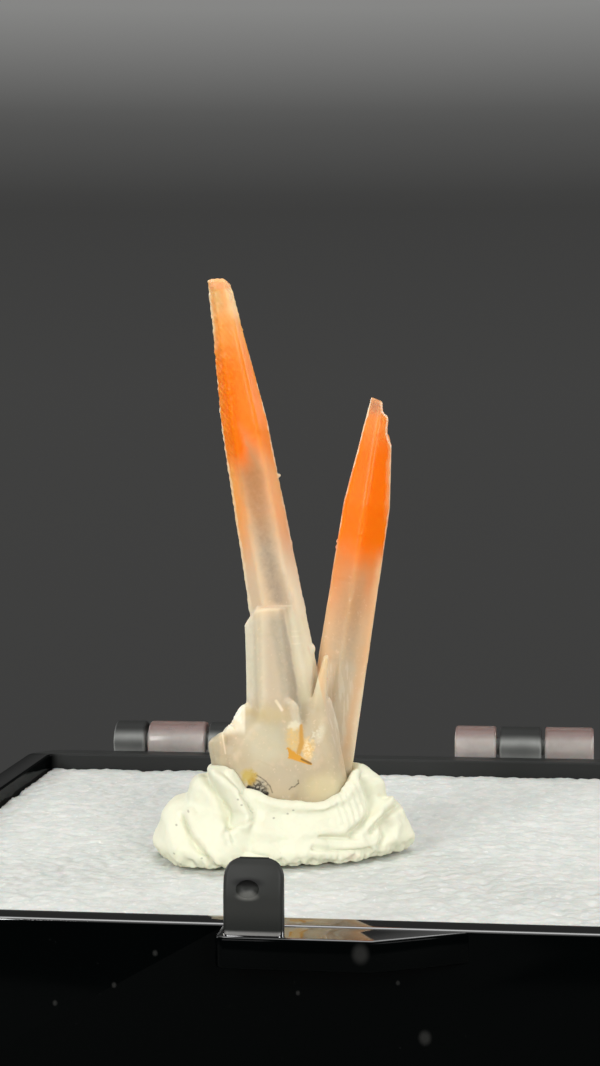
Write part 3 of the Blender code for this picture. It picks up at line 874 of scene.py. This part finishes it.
FOLDS = (
    (((-4.7, 5.8), (-4.2, 5.45), (-3.6, 4.9), (-3.1, 4.2), (-2.75, 3.4), (-2.65, 2.95)), 0.42, 0.5),
    (((-4.1, 6.0), (-3.3, 4.95), (-2.75, 4.3), (-2.3, 3.7)), 0.12, -0.16),
    (((-6.0, 6.1), (-5.35, 5.5), (-4.6, 4.7), (-3.95, 3.7), (-3.65, 2.9)), 0.3, -0.42),
    (((-4.9, 3.4), (-4.6, 2.4)), 0.6, 0.12), (((-6.6, 4.2), (-5.6, 3.3)), 0.5, 0.1),
    (((-7.1, 3.1), (-6.6, 2.3), (-5.75, 1.3), (-4.9, 0.5), (-4.4, 0.1)), 0.2, -0.36),
    (((-6.4, 3.2), (-5.8, 2.3), (-5.0, 1.4), (-4.1, 0.5)), 0.4, 0.2),
    (((-8.3, 3.2), (-7.9, 2.0), (-7.0, 1.0)), 0.7, 0.16),
    (((-2.3, 3.1), (-2.55, 2.88), (-2.8, 2.8), (-3.2, 2.95), (-3.5, 2.93), (-3.9, 2.78)), 0.08, -0.14),
    (((-3.9, 2.78), (-4.15, 2.5), (-4.2, 2.2)), 0.08, -0.12),
    (((-3.76, 2.65), (-3.55, 2.2), (-3.44, 1.73)), 0.09, -0.12),
    (((-4.0, 2.5), (-3.98, 2.1), (-3.86, 1.73)), 0.09, -0.1),
    (((5.35, 5.6), (5.75, 4.7), (6.0, 4.0), (5.9, 3.2), (5.4, 2.5), (4.6, 2.05)), 0.32, -0.42),
    (((6.6, 5.0), (6.9, 4.2), (7.2, 3.5)), 0.3, 0.14), (((6.55, 3.9), (7.1, 3.55)), 0.12, -0.14),
    (((8.0, 3.2), (7.2, 2.85), (6.5, 2.4), (5.9, 1.9)), 0.2, -0.3),
    (((7.3, 3.5), (6.6, 3.1), (6.0, 2.7)), 0.26, 0.16),
    (((6.7, 2.3), (6.8, 1.5), (6.5, 0.8)), 0.22, -0.28),
    (((7.4, 2.6), (7.7, 1.9), (7.5, 1.2)), 0.36, 0.22),
    (((2.3, 1.98), (3.6, 1.8), (4.95, 1.76)), 0.12, -0.14), (((2.4, 2.3), (4.0, 2.2)), 0.3, 0.12),
    (((1.9, 1.3), (3.63, 0.95), (5.75, 0.7)), 0.2, -0.22), (((0.6, 3.4), (1.8, 3.0)), 0.5, 0.06),
    (((-2.5, 4.95), (-1.2, 4.45), (0.2, 4.05), (1.6, 3.95), (2.9, 4.05)), 0.2, 0.07),
    (((-1.9, 2.6), (-0.6, 2.2), (0.5, 1.6)), 0.5, 0.12), (((-2.7, 1.2), (-1.2, 0.8)), 0.2, -0.12),
    (((-6.9, 0.9), (-6.3, 0.4)), 0.25, -0.18), (((3.0, 2.9), (3.6, 2.5)), 0.3, -0.08),
)
front = eased(grid[..., 1], 0.8, -0.6)
press = np.zeros(grid.shape[:-1])
for path, width, depth in FOLDS:
    press += 1.35 * depth * np.exp(-((along_path(grid, path) / width) ** 2)) * front
print_oval = ((grid[..., 0] - 4.5) / 1.4) ** 2 + ((grid[..., 2] - 3.75) / 1.3) ** 2
lean = math.radians(68)
ridges = (grid[..., 0] * math.sin(lean) + grid[..., 2] * math.cos(lean)) * 2 * math.pi / 0.4
bent = 1.2 * np.sin(grid[..., 2] * 0.9 + 0.4)
press += 0.05 * np.sin(ridges + bent) * np.exp(-(print_oval**2)) * front
small_oval = ((grid[..., 0] - 8.0) / 0.6) ** 2 + ((grid[..., 2] - 2.2) / 1.1) ** 2
press += 0.03 * np.sin(grid[..., 0] * 17 + grid[..., 2] * 3) * np.exp(-(small_oval**2)) * front
soft = [0.14 * noise.noise(Vector(p) * 0.5) + 0.06 * noise.noise(Vector(p) * 1.5 + Vector((9, 0, 0)))
        + 0.025 * noise.noise(Vector(p) * 4) for p in grid.reshape(-1, 3)]
press += np.array(soft).reshape(press.shape)
ragged = [0.3 * noise.noise(Vector(p) * 1.3) + 0.16 * noise.noise(Vector(p) * 3.2)
          for p in grid.reshape(-1, 3) * (1, 1, 0.3)]
press += np.array(ragged).reshape(press.shape) * eased(grid[..., 2], 1.0, 0.45)
press *= eased(grid[..., 2], -0.6, 0.3)
grid = grid + normals * press[..., None]
print(f"putty pressed by {press.min():.2f} to {press.max():.2f} mm")

# %% [markdown]
# The grid becomes a closed mesh: quads between neighbouring lines, and a fan at the top and the
# bottom. The stone's socket is cut with a boolean by a copy of the stone that is a hair larger,
# so the putty meets the stone along the same line as the real one and never runs into it.

# %% Close the putty and cut its socket
def closed_grid(name, grid):
    """A mesh from a grid that closes on itself, with a fan at each end."""
    around, down = grid.shape[:2]
    points = [tuple(p) for p in grid.reshape(-1, 3)]
    points += [tuple(grid[:, 0].mean(0)), tuple(grid[:, -1].mean(0))]
    top, bottom = len(points) - 2, len(points) - 1
    faces = []
    for i in range(around):
        here, after = i * down, (i + 1) % around * down
        faces += [(here + j, here + j + 1, after + j + 1, after + j) for j in range(down - 1)]
        faces += [(here, after, top), (after + down - 1, here + down - 1, bottom)]
    mesh = bpy.data.meshes.new(name)
    mesh.from_pydata(points, [], faces)
    mesh.validate()
    return mesh


putty = add_piece("pressed_putty", closed_grid("pressed_putty", grid))
socket = stone.data.copy()
write_points(socket, read_points(stone.data) + read_points(stone.data, "normal") * 0.02 * MM)
socket.transform(to_box.inverted())
cut(putty, add_piece("socket", socket))
putty.data.transform(to_box)
putty.data.shade_smooth()
print("putty faces:", len(putty.data.polygons))

# %% [markdown]
# Putty is nearly white with a touch of green-yellow, dull, and a little light goes through its
# thin edges, so it gets some subsurface scattering. It picks up specks of dust as it is handled.

# %% Finish the putty
PUTTY_SPECKS = (
    (-0.8, 3.23), (0.14, 3.48), (0.52, 3.73), (-7.43, 2.64), (-6.61, 3.58), (-5.63, 0.8),
    (-7.5, 1.05), (-7.08, 0.3), (-3.2, 4.6), (-2.95, 4.25),
)
putty_finish, point = new_finish("handled putty")
stone_point = on_stone(point)
a, _, z = axes(stone_point)
cloud = grain(stone_point, 0.6, 3.0)
colour = paint(
    (217, 216, 192),
    (cloud, (226, 225, 202)),
    (spot((4.51, 0.4), (0.4, 0.25), 1.2) * 0.4, (214, 190, 170)),
    *[(spot(speck, (0.08, 0.06), 0.9) * 0.6, (140, 136, 118)) for speck in PUTTY_SPECKS],
    (rise(grain(stone_point, 7.0, 1.0), 0.74, 0.8) * 0.25, (196, 188, 160)),
)
show(principled(point, {
    "Base Color": colour, "Roughness": 0.5 + cloud * 0.2, "Specular IOR Level": 0.2,
    "Normal": bump(grain(stone_point, 6.0, 3.0), 0.2, 0.00005),
    "Subsurface Weight": 0.1, "Subsurface Scale": 0.0006,
}))
dress(putty, putty_finish)
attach(putty, "root")
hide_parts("putty")
print("putty ready")

# %% [markdown]
# ## The foam pad
# The pad is a soft white foam of tiny beads, a little crumpled. Its surface follows a rule, so it
# suits Geometry Nodes: a fine grid is lowered between the beads, which a Voronoi texture places,
# and dented by slow noise. The named inputs set the bead size and the depths.

# %% Build the foam's node tree
def new_tree(name, inputs):
    """A Geometry Nodes tree with named number inputs, and a wire for each input."""
    tree = bpy.data.node_groups.new(name, "GeometryNodeTree")
    tree.interface.new_socket("Geometry", in_out="INPUT", socket_type="NodeSocketGeometry")
    tree.interface.new_socket("Geometry", in_out="OUTPUT", socket_type="NodeSocketGeometry")
    for label, kind in inputs.items():
        tree.interface.new_socket(label, in_out="INPUT", socket_type=kind)
    entry = tree.nodes.new("NodeGroupInput")
    return tree, {s.name: Wire(tree, s) for s in entry.outputs if s.name}


def run_tree(piece, tree, material, values):
    """Runs a tree on a piece, with its inputs set by name, and keeps the plain mesh."""
    modifier = piece.modifiers.new("nodes", "NODES")
    modifier.node_group = tree
    for item in tree.interface.items_tree:
        if item.item_type == "SOCKET" and item.in_out == "INPUT" and item.name in values:
            modifier[item.identifier] = values[item.name]
    apply_modifiers(piece)
    dress(piece, material)


def end_tree(geometry, material):
    """The last nodes of a tree: real instances, and their material."""
    real = geometry.node("GeometryNodeRealizeInstances", None, {"Geometry": geometry})
    real = real.node("GeometryNodeSetMaterial", None, {"Geometry": real, "Material": material})
    real.node("NodeGroupOutput", None, {"Geometry": real})


foam_finish, foam_point = new_finish("beaded foam")
foam_tree, enter = new_tree("foam surface", {
    "Bead Size": "NodeSocketFloat", "Bead Depth": "NodeSocketFloat", "Dent Depth": "NodeSocketFloat",
})
here = enter["Geometry"].node("GeometryNodeInputPosition")
shaken = here.node("ShaderNodeTexNoise", None, {"Vector": here, "Scale": 700.0}, "Color")
bead_point = here.node("ShaderNodeVectorMath", {"operation": "MULTIPLY_ADD"}, {
    0: shaken, 1: (0.0011, 0.0011, 0.0), 2: here,
}, "Vector")
beads = here.node("ShaderNodeTexVoronoi", {"feature": "SMOOTH_F1"}, {
    "Vector": bead_point, "Scale": here.maths("DIVIDE", 1.0, enter["Bead Size"]), "Smoothness": 0.35,
}, "Distance")
dents = here.node("ShaderNodeTexNoise", None, {
    "Vector": here, "Scale": 420.0, "Detail": 4.0, "Roughness": 0.6,
}, "Fac")
lower = beads * beads * enter["Bead Depth"] + (1 - dents) * enter["Dent Depth"]
drop = lower * rise(axes(here)[2], 12.9 * MM, 12.99 * MM) * -1.0
offset = drop.node("ShaderNodeCombineXYZ", None, {"Z": drop})
shaped = enter["Geometry"].node("GeometryNodeSetPosition", None, {
    "Geometry": enter["Geometry"], "Offset": offset,
})
end_tree(shaped, foam_finish)
print("foam tree:", len(foam_tree.nodes), "nodes")

# %% [markdown]
# The tree only moves points, so the pad needs a top of fine cells. Its sides and its underside are
# plain, since the box hides them.

# %% Make the pad and run the tree
def pad_mesh(name, half, low, top, count):
    """A closed block whose top is a fine grid."""
    line = np.linspace(-half, half, count)
    x, y = np.meshgrid(line, line, indexing="ij")
    points = [(px, py, top) for px, py in zip(x.flat, y.flat)]
    faces = []
    for i in range(count - 1):
        row = i * count
        faces += [(row + j, row + count + j, row + count + j + 1, row + j + 1) for j in range(count - 1)]
    last = count - 1
    edge = [*range(0, count * count, count), *range(last * count + 1, count * count)]
    edge += [*range(last * count - 1, 0, -count), *range(count - 2, 0, -1)]
    below = len(points)
    points += [(points[i][0], points[i][1], low) for i in edge]
    ring = len(edge)
    for i in range(ring):
        after = (i + 1) % ring
        faces.append((edge[i], below + i, below + after, edge[after]))
    points.append((0, 0, low))
    faces += [(below + (i + 1) % ring, below + i, len(points) - 1) for i in range(ring)]
    mesh = bpy.data.meshes.new(name)
    mesh.from_pydata(points, [], faces)
    return mesh


low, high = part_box("foam_pad")
pad = add_piece("bead_foam", pad_mesh("bead_foam", high.x, low.z, high.z, 300))
run_tree(pad, foam_tree, foam_finish, {
    "Bead Size": 0.7 * MM, "Bead Depth": 0.22 * MM, "Dent Depth": 0.45 * MM,
})
pad.data.shade_smooth()
print("pad faces:", len(pad.data.polygons))

# %% [markdown]
# The pad's colour is nearly white, greyer in patches, with pale flecks where a bead catches light.

# %% Finish the foam
flecks = grain(foam_point, 2600.0, 3.0)
foam_colour = paint(
    (197, 200, 195),
    (rise(grain(foam_point, 900.0, 4.0), 0.36, 0.66), (208, 209, 204)),
    (rise(flecks, 0.6, 0.72) * 0.5, (232, 232, 228)),
)
show(principled(foam_point, {
    "Base Color": foam_colour, "Roughness": 0.85, "Specular IOR Level": 0.2,
    "Normal": bump(flecks, 0.5, 0.0001), "Subsurface Weight": 0.15, "Subsurface Scale": 0.0006,
}))
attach(pad, "root")
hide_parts("foam_pad")
print("foam ready")

# %% [markdown]
# ## The box
# The box is one moulding of glossy black plastic: a tray with rounded corners, a catch tab, a thumb
# ledge and hinge barrels. Moulded edges are never sharp, and their small radii catch the light, so
# every outline here is lofted or bevelled with real radii.

# %% Helpers for moulded shapes
def rounded_square(half, corner, height, steps=10):
    """Points round a square with rounded corners."""
    points = []
    for quarter in range(4):
        middle = quarter * math.pi / 2 + math.pi / 4
        centre = Vector((math.copysign(half - corner, math.cos(middle)),
                         math.copysign(half - corner, math.sin(middle)), height))
        for step in range(steps + 1):
            angle = quarter * math.pi / 2 + step / steps * math.pi / 2
            points.append(centre + Vector((math.cos(angle), math.sin(angle), 0)) * corner)
    return points


def loft(name, rings):
    """A closed mesh through rings of points, capped at both ends."""
    made = bmesh.new()
    rows = [[made.verts.new(p) for p in ring] for ring in rings]
    join_rings(made, rows)
    made.faces.new(rows[0][::-1])
    made.faces.new(rows[-1])
    return from_bmesh(name, made)


def plate(name, outline, thickness, edge, segments=3):
    """A flat outline given thickness along its normal, with its edges rounded."""
    made = bmesh.new()
    face = made.faces.new([made.verts.new(p) for p in outline])
    grown = bmesh.ops.extrude_face_region(made, geom=[face])
    corners = [g for g in grown["geom"] if isinstance(g, bmesh.types.BMVert)]
    bmesh.ops.translate(made, vec=thickness, verts=corners)
    bmesh.ops.recalc_face_normals(made, faces=made.faces)
    sharp = [e for e in made.edges if e.calc_face_angle() > math.radians(30)]
    bmesh.ops.bevel(made, geom=sharp, offset=edge, segments=segments, profile=0.5, affect="EDGES")
    return from_bmesh(name, made)


print("moulding helpers ready")

# %% [markdown]
# The tray is one loft: out and up round the foot, up the wall, over the rim in a half circle, and
# down to the floor inside. Each ring is a rounded square, so its corners stay even.

# %% Loft the tray
SIDE, HEIGHT, WALL, FLOOR, CORNER = 56.0 * MM, 14.0 * MM, 1.9 * MM, 1.6 * MM, 3.0 * MM
FOOT_ROUND, RIM_ROUND, FLOOR_ROUND = 0.6 * MM, 0.2 * MM, 0.3 * MM
half = SIDE / 2
rings = [rounded_square(half - FOOT_ROUND, CORNER - FOOT_ROUND, 0)]
for step in range(1, 5):
    angle = step / 4 * math.pi / 2
    inset = FOOT_ROUND * (1 - math.sin(angle))
    rings.append(rounded_square(half - inset, CORNER - inset, FOOT_ROUND * (1 - math.cos(angle))))
for step in range(9):
    angle = step / 8 * math.pi
    inset = RIM_ROUND * (1 - math.cos(angle)) if step <= 4 else WALL - RIM_ROUND * (1 + math.cos(angle))
    height = HEIGHT - RIM_ROUND * (1 - math.sin(angle))
    rings.append(rounded_square(half - inset, CORNER - inset, height))
rings.append(rounded_square(half - WALL, CORNER - WALL, FLOOR + FLOOR_ROUND))
rings.append(rounded_square(half - WALL - FLOOR_ROUND, CORNER - WALL - FLOOR_ROUND, FLOOR))
tray = loft("tray", rings)
print("tray rings:", len(rings))

# %% [markdown]
# The catch tab narrows to a round top and leans back, which a loft of oblongs follows level by
# level. A sphere cuts the thumb's dimple. The ledge under it is a flat plate with eased edges.

# %% Draw the catch tab's levels
CATCH_MIDDLE, CATCH_HALF, CATCH_TOP = 0.3 * MM, 1.75 * MM, 18.4 * MM
TAB_ROUND = 1.25 * MM
FRONT = -half - 2.6 * MM
LEDGE_TOP, LEDGE_THICK = 13.9 * MM, 1.9 * MM


def tab_ring(height, inset):
    """One level of the tab: a rounded oblong that narrows and leans back near the top."""
    over = max(0.0, (height - (CATCH_TOP - TAB_ROUND)) / TAB_ROUND)
    half_width = CATCH_HALF - TAB_ROUND * (1 - math.sqrt(max(0.0, 1 - over * over))) - inset
    lean = 0.7 * MM * max(0.0, (height - 16.0 * MM) / (2.4 * MM)) ** 1.5
    front_y, back_y = FRONT + 0.35 * MM + lean + inset, FRONT + 1.35 * MM - inset
    round_by = min(0.32 * MM, (back_y - front_y) / 2.2)
    points = []
    for corner_x, corner_y, start in ((1, 1, 0), (-1, 1, 1), (-1, 0, 2), (1, 0, 3)):
        centre = Vector((
            CATCH_MIDDLE + corner_x * (half_width - round_by),
            back_y - round_by if corner_y else front_y + round_by, height,
        ))
        for step in range(7):
            angle = (start + step / 6) * math.pi / 2
            points.append(centre + Vector((math.cos(angle), math.sin(angle), 0)) * round_by)
    return points


levels = [12.4 + 0.25 * k for k in range(19)] + [17.1, 17.3, 17.5, 17.7, 17.85, 17.98]
rings = [tab_ring(level * MM, 0) for level in levels]
rings += [tab_ring((17.98 + d) * MM, i * MM) for d, i in ((0.14, 0.05), (0.25, 0.13), (0.32, 0.24))]
print("tab levels:", len(rings))

# %% Add the catch tab and the thumb ledge
tab = loft("tab", rings)
dimple = bmesh.new()
bmesh.ops.create_uvsphere(dimple, u_segments=32, v_segments=16, radius=0.65 * MM)
bmesh.ops.scale(dimple, vec=(1.15, 0.9, 0.9), verts=dimple.verts)
dimple_place = (CATCH_MIDDLE - 0.3 * MM, FRONT + 0.2 * MM, 16.65 * MM)
bmesh.ops.translate(dimple, vec=dimple_place, verts=dimple.verts)
cut(tab, from_bmesh("dimple", dimple))

ledge_low = LEDGE_TOP - LEDGE_THICK
ledge_outline = [
    Vector((x * MM, y, ledge_low)) for x, y in (
        (-1.9, FRONT + 0.5 * MM), (-1.75, FRONT + 0.15 * MM), (-1.4, FRONT), (7.2, FRONT), (12.6, -half),
        (12.6, -half + 0.9 * MM), (-1.9, -half + 0.9 * MM),
    )
]
ledge = plate("ledge", ledge_outline, Vector((0, 0, LEDGE_THICK)), 0.22 * MM)
cut(tray, ledge, "UNION")
cut(tray, tab, "UNION")
print("tray with catch and ledge:", len(tray.data.polygons), "faces")

# %% [markdown]
# The hinge is a row of barrels on one pin. Black ones belong to the box, and clear ones to its lid.
# One function turns a profile round the hinge line, so all of them share the same rounded ends.

# %% Turn the hinge barrels
HINGE = Vector((0, half + 1.95 * MM, HEIGHT + 0.55 * MM))


def turned(name, start, end, radius, bore=0.0, round_by=0.25 * MM, steps=64):
    """A barrel round the hinge line, with rounded ends and, if wanted, a bore."""
    profile = []
    for turn in [k / 5 * math.pi / 2 for k in range(6)][::-1]:
        inset, lower = round_by * (1 - math.sin(turn)), round_by * (1 - math.cos(turn))
        profile.append((start + inset, radius - lower))
    profile += [(start + end - x, r) for x, r in reversed(profile)]
    made = bmesh.new()
    rows = []
    for x, r in [(start, bore), *profile, (end, bore)] if bore else profile:
        ring = []
        for step in range(steps):
            angle = step / steps * 2 * math.pi
            ring.append(made.verts.new(HINGE + Vector((x, math.cos(angle) * r, math.sin(angle) * r))))
        rows.append(ring)
    join_rings(made, rows + rows[:1] if bore else rows)
    if not bore:
        made.faces.new(rows[0])
        made.faces.new(rows[-1])
    return from_bmesh(name, made)


BARREL_RADIUS, PIN_RADIUS, WEB_INSET = 1.75 * MM, 0.7 * MM, 0.1 * MM
WEB = ((-0.9, 9.0), (0, 9.0), (1.95, 11.4), (1.95, 14.3), (-0.9, 13.6))
for start, end in ((-21.1, -18.4), (-12.8, -8.7), (12.3, 15.8)):
    start, end = start * MM, end * MM
    outline = [Vector((start + WEB_INSET, half + y * MM, up * MM)) for y, up in WEB]
    web = plate("web", outline, Vector((end - start - 2 * WEB_INSET, 0, 0)), 0.12 * MM, 2)
    cut(tray, web, "UNION")
    cut(tray, turned("barrel", start, end, BARREL_RADIUS), "UNION")
for start, end in ((-20.0, -9.7), (8.5, 20.2)):
    pin = turned("pin", start * MM, end * MM, PIN_RADIUS, round_by=0.1 * MM, steps=32)
    cut(tray, pin, "UNION")
tray.data.shade_smooth()
tray.data.set_sharp_from_angle(angle=math.radians(32))
print("tray with hinge:", len(tray.data.polygons), "faces")

# %% [markdown]
# Black polystyrene is nearly a mirror at a low angle. Handling leaves a fine haze and a few
# scratches, so its roughness varies a little, and the tab is duller from the thumb. The dull parts
# get a grey base, a lighter copy of the black painted as light, with painted highlights and shade.

# %% Finish the box
box_finish, point = new_finish("black moulded plastic")
haze = grain(point, 420.0, 4.0)
across, depth, up = [part / MM for part in axes(point)]


def oval(middle, radii, soft=0.6):
    """An oval patch on the box's front, across and up in millimetres."""
    x = (across - middle[0]) / radii[0]
    z = (up - middle[1]) / radii[1]
    return rise(x.maths("SQRT", x * x + z * z), 1 + soft / 2, 1 - soft / 2)


on_front = rise(depth, -27.6, -27.9)
on_tab = rise(up, 14.05, 14.3) * on_front
on_hinge = rise(depth, 28.1, 28.4)
inner_wall = rise(depth, 27.6, 27.2) * rise(across.maths("ABSOLUTE", across), 26.9, 26.4)
on_back = rise(depth, 25.5, 26.2) * larger(rise(up, 13.3, 13.6), inner_wall)
print("box masks ready")

# %% Shade the dull and the glossy plastic
# painted highlight along the middle of the black hinge barrels, made uneven by the haze noise
painted_barrel_highlight = rise(up, 13.2, 14.3) * rise(up, 15.9, 14.9) * on_hinge * (0.5 + haze)
dull = paint(
    # painted light: the dull parts' grey base, a lighter copy of the same black plastic
    (38, 39, 38),
    # painted shade: the tab darker towards its foot
    (on_tab, paint((40, 41, 39), (rise(up, 15.6, 14.2), (24, 26, 24)))),
    # painted highlight on the tab's leaning top
    (oval((0.3, 17.6), (1.3, 0.5), 1.0) * on_tab * 0.8, (46, 47, 45)),
    # painted shadow under the dimple's upper rim
    (oval((0.0, 16.95), (0.8, 0.26), 0.9) * on_tab, (12, 12, 12)),
    # painted highlight on the dimple's lower rim
    (oval((0.0, 16.2), (0.55, 0.22), 1.0) * on_tab * 0.8, (96, 96, 92)),
    (painted_barrel_highlight, (154, 156, 153)),
)
dull_plastic = principled(point, {
    "Base Color": dull, "Roughness": 0.42 + haze * 0.1, "Specular IOR Level": 0.18,
})
WALL_FLECKS = (
    ((-5.87, 12.11), 0.13), ((-8.36, 10.11), 0.12), ((2.59, 10.0), 0.1), ((8.44, 10.79), 0.1),
    ((-11.95, 8.91), 0.12), ((10.0, 7.6), 0.3), ((6.53, 13.15), 0.4),
)
black = paint((2, 3, 3), (rise(grain(point, 5200.0, 1.0), 0.8, 0.86) * 0.4, (50, 50, 50)))
for middle, size in WALL_FLECKS:
    fleck = oval(middle, (size, size * 1.2), 1.2) * on_front * (1 - on_tab)
    black = paint(black, (fleck * 0.25, (70, 70, 68)))
mirror = rise(up, 13.82, 13.9) * rise(depth, -25.5, -26) * (1 - on_tab)
glossy_plastic = principled(point, {
    "Base Color": black, "Roughness": 0.08 + haze * 0.06, "Specular IOR Level": 0.02,
    "Coat Weight": mirror, "Coat IOR": 3.0, "Coat Roughness": 0.04,
})
show(mixed(larger(on_tab, on_back), glossy_plastic, dull_plastic))
dress(tray, box_finish)
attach(tray, "root")
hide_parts("box_base")
print("box ready")

# %% [markdown]
# The lid's barrels are clear plastic, rubbed cloudy by use, with a pinkish shade in their tops. A
# clear shader and a cloudy one are mixed by how rubbed the surface is. The same function as before
# turns them, now with a bore for the pin.

# %% Make the lid's clear barrels
clear_finish, point = new_finish("clear moulded plastic")
rub = grain(point, 900.0, 3.0)
up = axes(point)[2] / MM
pink = paint(
    (196, 187, 181), (rise(up, 15.3, 15.9), (128, 100, 93)), (rise(up, 13.9, 13.4), (150, 146, 142)),
)
cloudy = principled(point, {
    "Base Color": pink, "Roughness": 0.35 + rub * 0.15, "Subsurface Weight": 0.2,
    "Subsurface Scale": 0.001,
})
glass = principled(point, {
    "Base Color": (0.96, 0.95, 0.94, 1.0), "Roughness": 0.12, "IOR": 1.58, "Transmission Weight": 1.0,
})
show(mixed(0.55 - rub * 0.3, cloudy, glass))
LID_BARRELS = {
    "lid_barrel_left": (-18.1, -13.1), "lid_barrel_middle": (8.5, 12.0),
    "lid_barrel_right": (16.1, 20.2),
}
for node, (start, end) in LID_BARRELS.items():
    barrel = turned(node.replace("lid", "clear"), start * MM, end * MM, BARREL_RADIUS, bore=1.0 * MM)
    barrel.data.shade_smooth()
    barrel.data.set_sharp_from_angle(angle=math.radians(32))
    barrel.data.materials.append(clear_finish)
    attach(barrel, "root")
    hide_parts(node)
    print(barrel.name, len(barrel.data.polygons), "faces")

# %% [markdown]
# ## Floor, backdrop and light
# The floor is a small pale board. Beyond it the world stays dark grey near the horizon, as a
# studio's back wall is, so the pale crystals stand out. Large soft lights do the rest: one
# overhead, two in front, and a low one from behind each side for the bright edges.

# %% Lay the floor
FLOOR_SIDE = 0.16
bpy.ops.mesh.primitive_plane_add(size=FLOOR_SIDE, location=(0, -0.012, 0))
floor = bpy.context.object
floor.name = "floor"
floor_finish, point = new_finish("pale board")
board = grain(point, 300.0, 3.0)
floor_colour = paint((206, 204, 200), (board, (214, 212, 208)))
show(principled(point, {"Base Color": floor_colour, "Roughness": 0.6}))
floor.data.materials.append(floor_finish)
print("floor laid")

# %% Shade the backdrop
world = bpy.data.worlds.new("studio")
world.use_nodes = True
bpy.context.scene.world = world
way = Wire(world.node_tree).node("ShaderNodeTexCoord", out="Generated")
climb = axes(way)[2]
WORLD_STOPS = (
    (0.0, 0.03), (0.5, 0.052), (0.545, 0.048), (0.565, 0.09), (0.592, 0.25), (0.61, 0.16),
    (0.635, 0.05), (0.74, 0.06), (0.86, 0.38), (1.0, 0.5),
)
shade = way.node("ShaderNodeValToRGB", {
    "stops": [(p, (v, v, v * 0.98, 1.0)) for p, v in WORLD_STOPS],
}, {"Fac": climb * 0.5 + 0.5}, "Color")
back = world.node_tree.nodes["Background"]
world.node_tree.links.new(shade.socket, back.inputs["Color"])
print(len(WORLD_STOPS), "backdrop stops")

# %% Light the scene
AIM = Vector((0, 0, 30 * MM))
LIGHTS = (
    ("overhead", (0, 0, 900), 700, 2.4), ("front left", (-550, -950, 480), 450, 8.6),
    ("front right", (620, -930, 440), 450, 7.6), ("back left", (-700, 400, 300), 350, 2.8),
    ("back right", (750, 380, 320), 350, 2.8),
)
for name, lamp_place, size, watts in LIGHTS:
    lamp = bpy.data.objects.new(name, bpy.data.lights.new(name, "AREA"))
    lamp.data.size = size * MM
    lamp.data.energy = watts
    lamp.location = Vector(lamp_place) * MM
    lamp.rotation_euler = (AIM - lamp.location).to_track_quat("-Z", "Y").to_euler()
    bpy.context.scene.collection.objects.link(lamp)
bpy.context.scene.view_settings.view_transform = "Standard"
print(len(LIGHTS), "lights")

# %% [markdown]
# Last, the view layer is brought up to date.

# %% Bring the scene up to date
bpy.context.view_layer.update()
